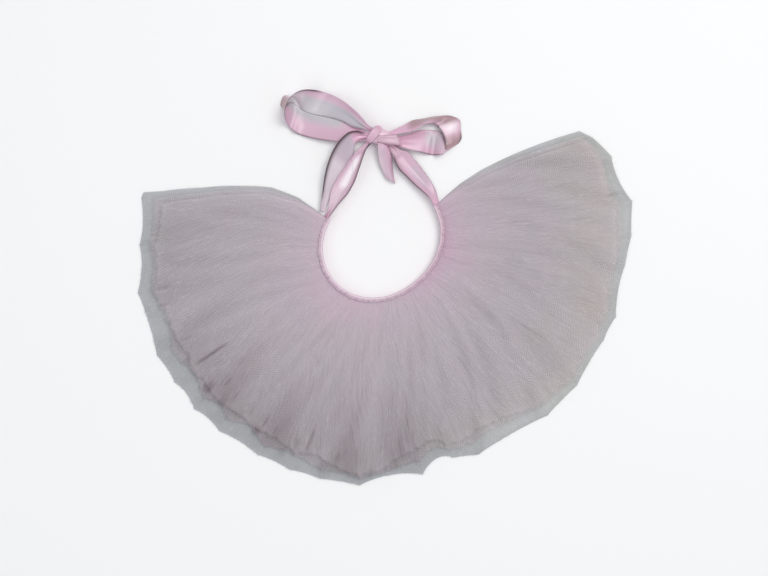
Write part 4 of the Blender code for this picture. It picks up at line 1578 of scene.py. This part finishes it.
def knot_core():
    """The core: a ball drawn out along the bow, with pleats that run to its two ends."""
    ball = bmesh.new()
    bmesh.ops.create_uvsphere(ball, u_segments=96, v_segments=48, radius=1.0)
    mesh = bpy.data.meshes.new("knot_core")
    ball.to_mesh(mesh)
    ball.free()
    points = np.empty(3 * len(mesh.vertices))
    mesh.vertices.foreach_get("co", points)
    x, y, along = points.reshape(-1, 3).T
    around = np.arctan2(y, x)
    pleat = crest(KNOT_PLEATS * around / (2 * np.pi) + PLEAT_SWING * np.sin(3 * along)) - 0.5
    depth = KNOT_PLEAT_DEPTH * (MIDDLE_PLEATS + (1 - MIDDLE_PLEATS) * np.abs(along))
    size = KNOT_SIZE * (1 + depth * pleat)
    centre_y, half_y, centre_z, half_z = (
        read(KNOT, "along", name, along) for name in KnotSection._fields[1:]
    )
    placed_x = (KNOT_LEFT + KNOT_RIGHT) / 2 + along * (KNOT_RIGHT - KNOT_LEFT) / 2
    placed_y, placed_z = centre_y + x * half_y * size, centre_z + y * half_z * size
    set_points(mesh, np.stack([placed_x, placed_y, placed_z], axis=1))
    store_flat_map(mesh, (around / np.pi + 1) * KNOT_FLAT[0], (along + 1) * KNOT_FLAT[1])
    # painted shade in the grooves between the pleats, and painted light over the whole core
    grooves = 0.5 * np.clip(-1.6 * pleat - 0.3, 0, 1)
    store(mesh, "line", grooves * (MIDDLE_LINES + (1 - MIDDLE_LINES) * np.abs(along)))
    store(mesh, "bright", np.full_like(along, 0.3))
    piece = cloth_object(mesh, ["knot"], pink_satin)
    return piece


core = knot_core()
print("knot core with", len(core.data.vertices), "points")

# %% The band across the knot
WRAP_CENTRE = np.array([-6.8, 95.2, 7.6])
WRAP_SLANT = math.radians(52.0)  # of the band's path, seen from above
WRAP_REACH, WRAP_RISE, WRAP_HALF_WIDTH = 9.4, 6.4, 4.0
WRAP_LENGTH, WRAP_THICKNESS = 0.053, 0.4
WRAP_LOWEST = 0.4
WRAP_PLEATS, WRAP_PLEAT_DEPTH = 5, 0.08
WRAP_CROWN, WRAP_NARROWING = 0.12, 0.25
HALF_RIBBON = 0.011  # metres: the ribbon folded lengthwise


def knot_band():
    """A band of folded ribbon, wrapped once round the core."""
    mesh, around, across = grid_mesh("knot_band", 96, 16)
    turn = 2 * np.pi * around
    side = 2 * across - 1
    path = np.array([math.cos(WRAP_SLANT), math.sin(WRAP_SLANT), 0.0])
    aside = np.array([math.sin(WRAP_SLANT), -math.cos(WRAP_SLANT), 0.0])
    upward = np.array([0.0, 0.0, 1.0])
    pleats = np.cos(WRAP_PLEATS * np.pi * side + 1.5 * np.sin(turn))
    roll = 1 - WRAP_CROWN * side**2 + WRAP_PLEAT_DEPTH * pleats
    narrow = WRAP_HALF_WIDTH * (1 - WRAP_NARROWING * np.abs(np.cos(turn)))
    points = (
        WRAP_CENTRE
        + np.outer(WRAP_REACH * np.cos(turn) * roll, path)
        + np.outer(WRAP_RISE * np.sin(turn) * roll, upward)
        + np.outer(side * narrow, aside)
    )
    points[:, 2] = np.maximum(points[:, 2], WRAP_LOWEST)
    set_points(mesh, points)
    store_flat_map(mesh, HALF_RIBBON * (0.5 + across), around * WRAP_LENGTH)
    # painted shadow along the band's edges and in its pleats, and painted light over the whole band
    store(mesh, "line", np.maximum(0.7 * np.abs(side) ** 12, 0.3 * np.clip(-pleats, 0, 1) ** 3))
    store(mesh, "bright", np.full_like(side, 0.2))
    piece = cloth_object(mesh, [], pink_satin, WRAP_THICKNESS)
    return piece


wrap = knot_band()
print(wrap.name, "at", round(math.degrees(WRAP_SLANT)), "degrees")

# %% The flap beside the knot
FlapEdge = namedtuple("FlapEdge", "near_x near_y far_x far_y height")
FLAP = [
    FlapEdge(-3.2, 88.0, -2.6, 94.4, 12.6),
    FlapEdge(3.6, 86.6, 4.6, 94.6, 12.9),
    FlapEdge(10.0, 85.8, 10.2, 95.0, 12.0),
    FlapEdge(17.2, 85.0, 13.6, 95.6, 10.6),
]
FLAP_LENGTH, FLAP_THICKNESS = 0.021, 0.25
FLAP_FROM = 0.004  # metres from the ribbon's edge to the flap's


def knot_flap():
    """The short flat stretch where the ribbon leaves the knot."""
    mesh, along, across = grid_mesh("knot_flap", 36, 20)
    near_x, near_y, far_x, far_y, height = curve_value(FLAP, along * (len(FLAP) - 1)).T
    crown = 0.5 * np.sin(np.pi * across) - 0.9 * (2 * across - 1) ** 6 + 0.3 * np.sin(9 * across)
    placed_x, placed_y = near_x + (far_x - near_x) * across, near_y + (far_y - near_y) * across
    set_points(mesh, np.stack([placed_x, placed_y, height + crown], axis=1))
    store_flat_map(mesh, FLAP_FROM + HALF_RIBBON * across, along * FLAP_LENGTH)
    # painted sheen and painted shade over the whole flap, and painted shadow lines along its edges
    # and far end
    store(mesh, "cool", np.full_like(across, 0.3))
    store(mesh, "deep", np.full_like(across, 0.25))
    store(mesh, "line", 0.5 * np.maximum(np.abs(2 * across - 1) ** 24, along**30))
    piece = cloth_object(mesh, [], pink_satin, FLAP_THICKNESS)
    return piece


flap = knot_flap()
print(flap.name, "with", len(flap.data.vertices), "points")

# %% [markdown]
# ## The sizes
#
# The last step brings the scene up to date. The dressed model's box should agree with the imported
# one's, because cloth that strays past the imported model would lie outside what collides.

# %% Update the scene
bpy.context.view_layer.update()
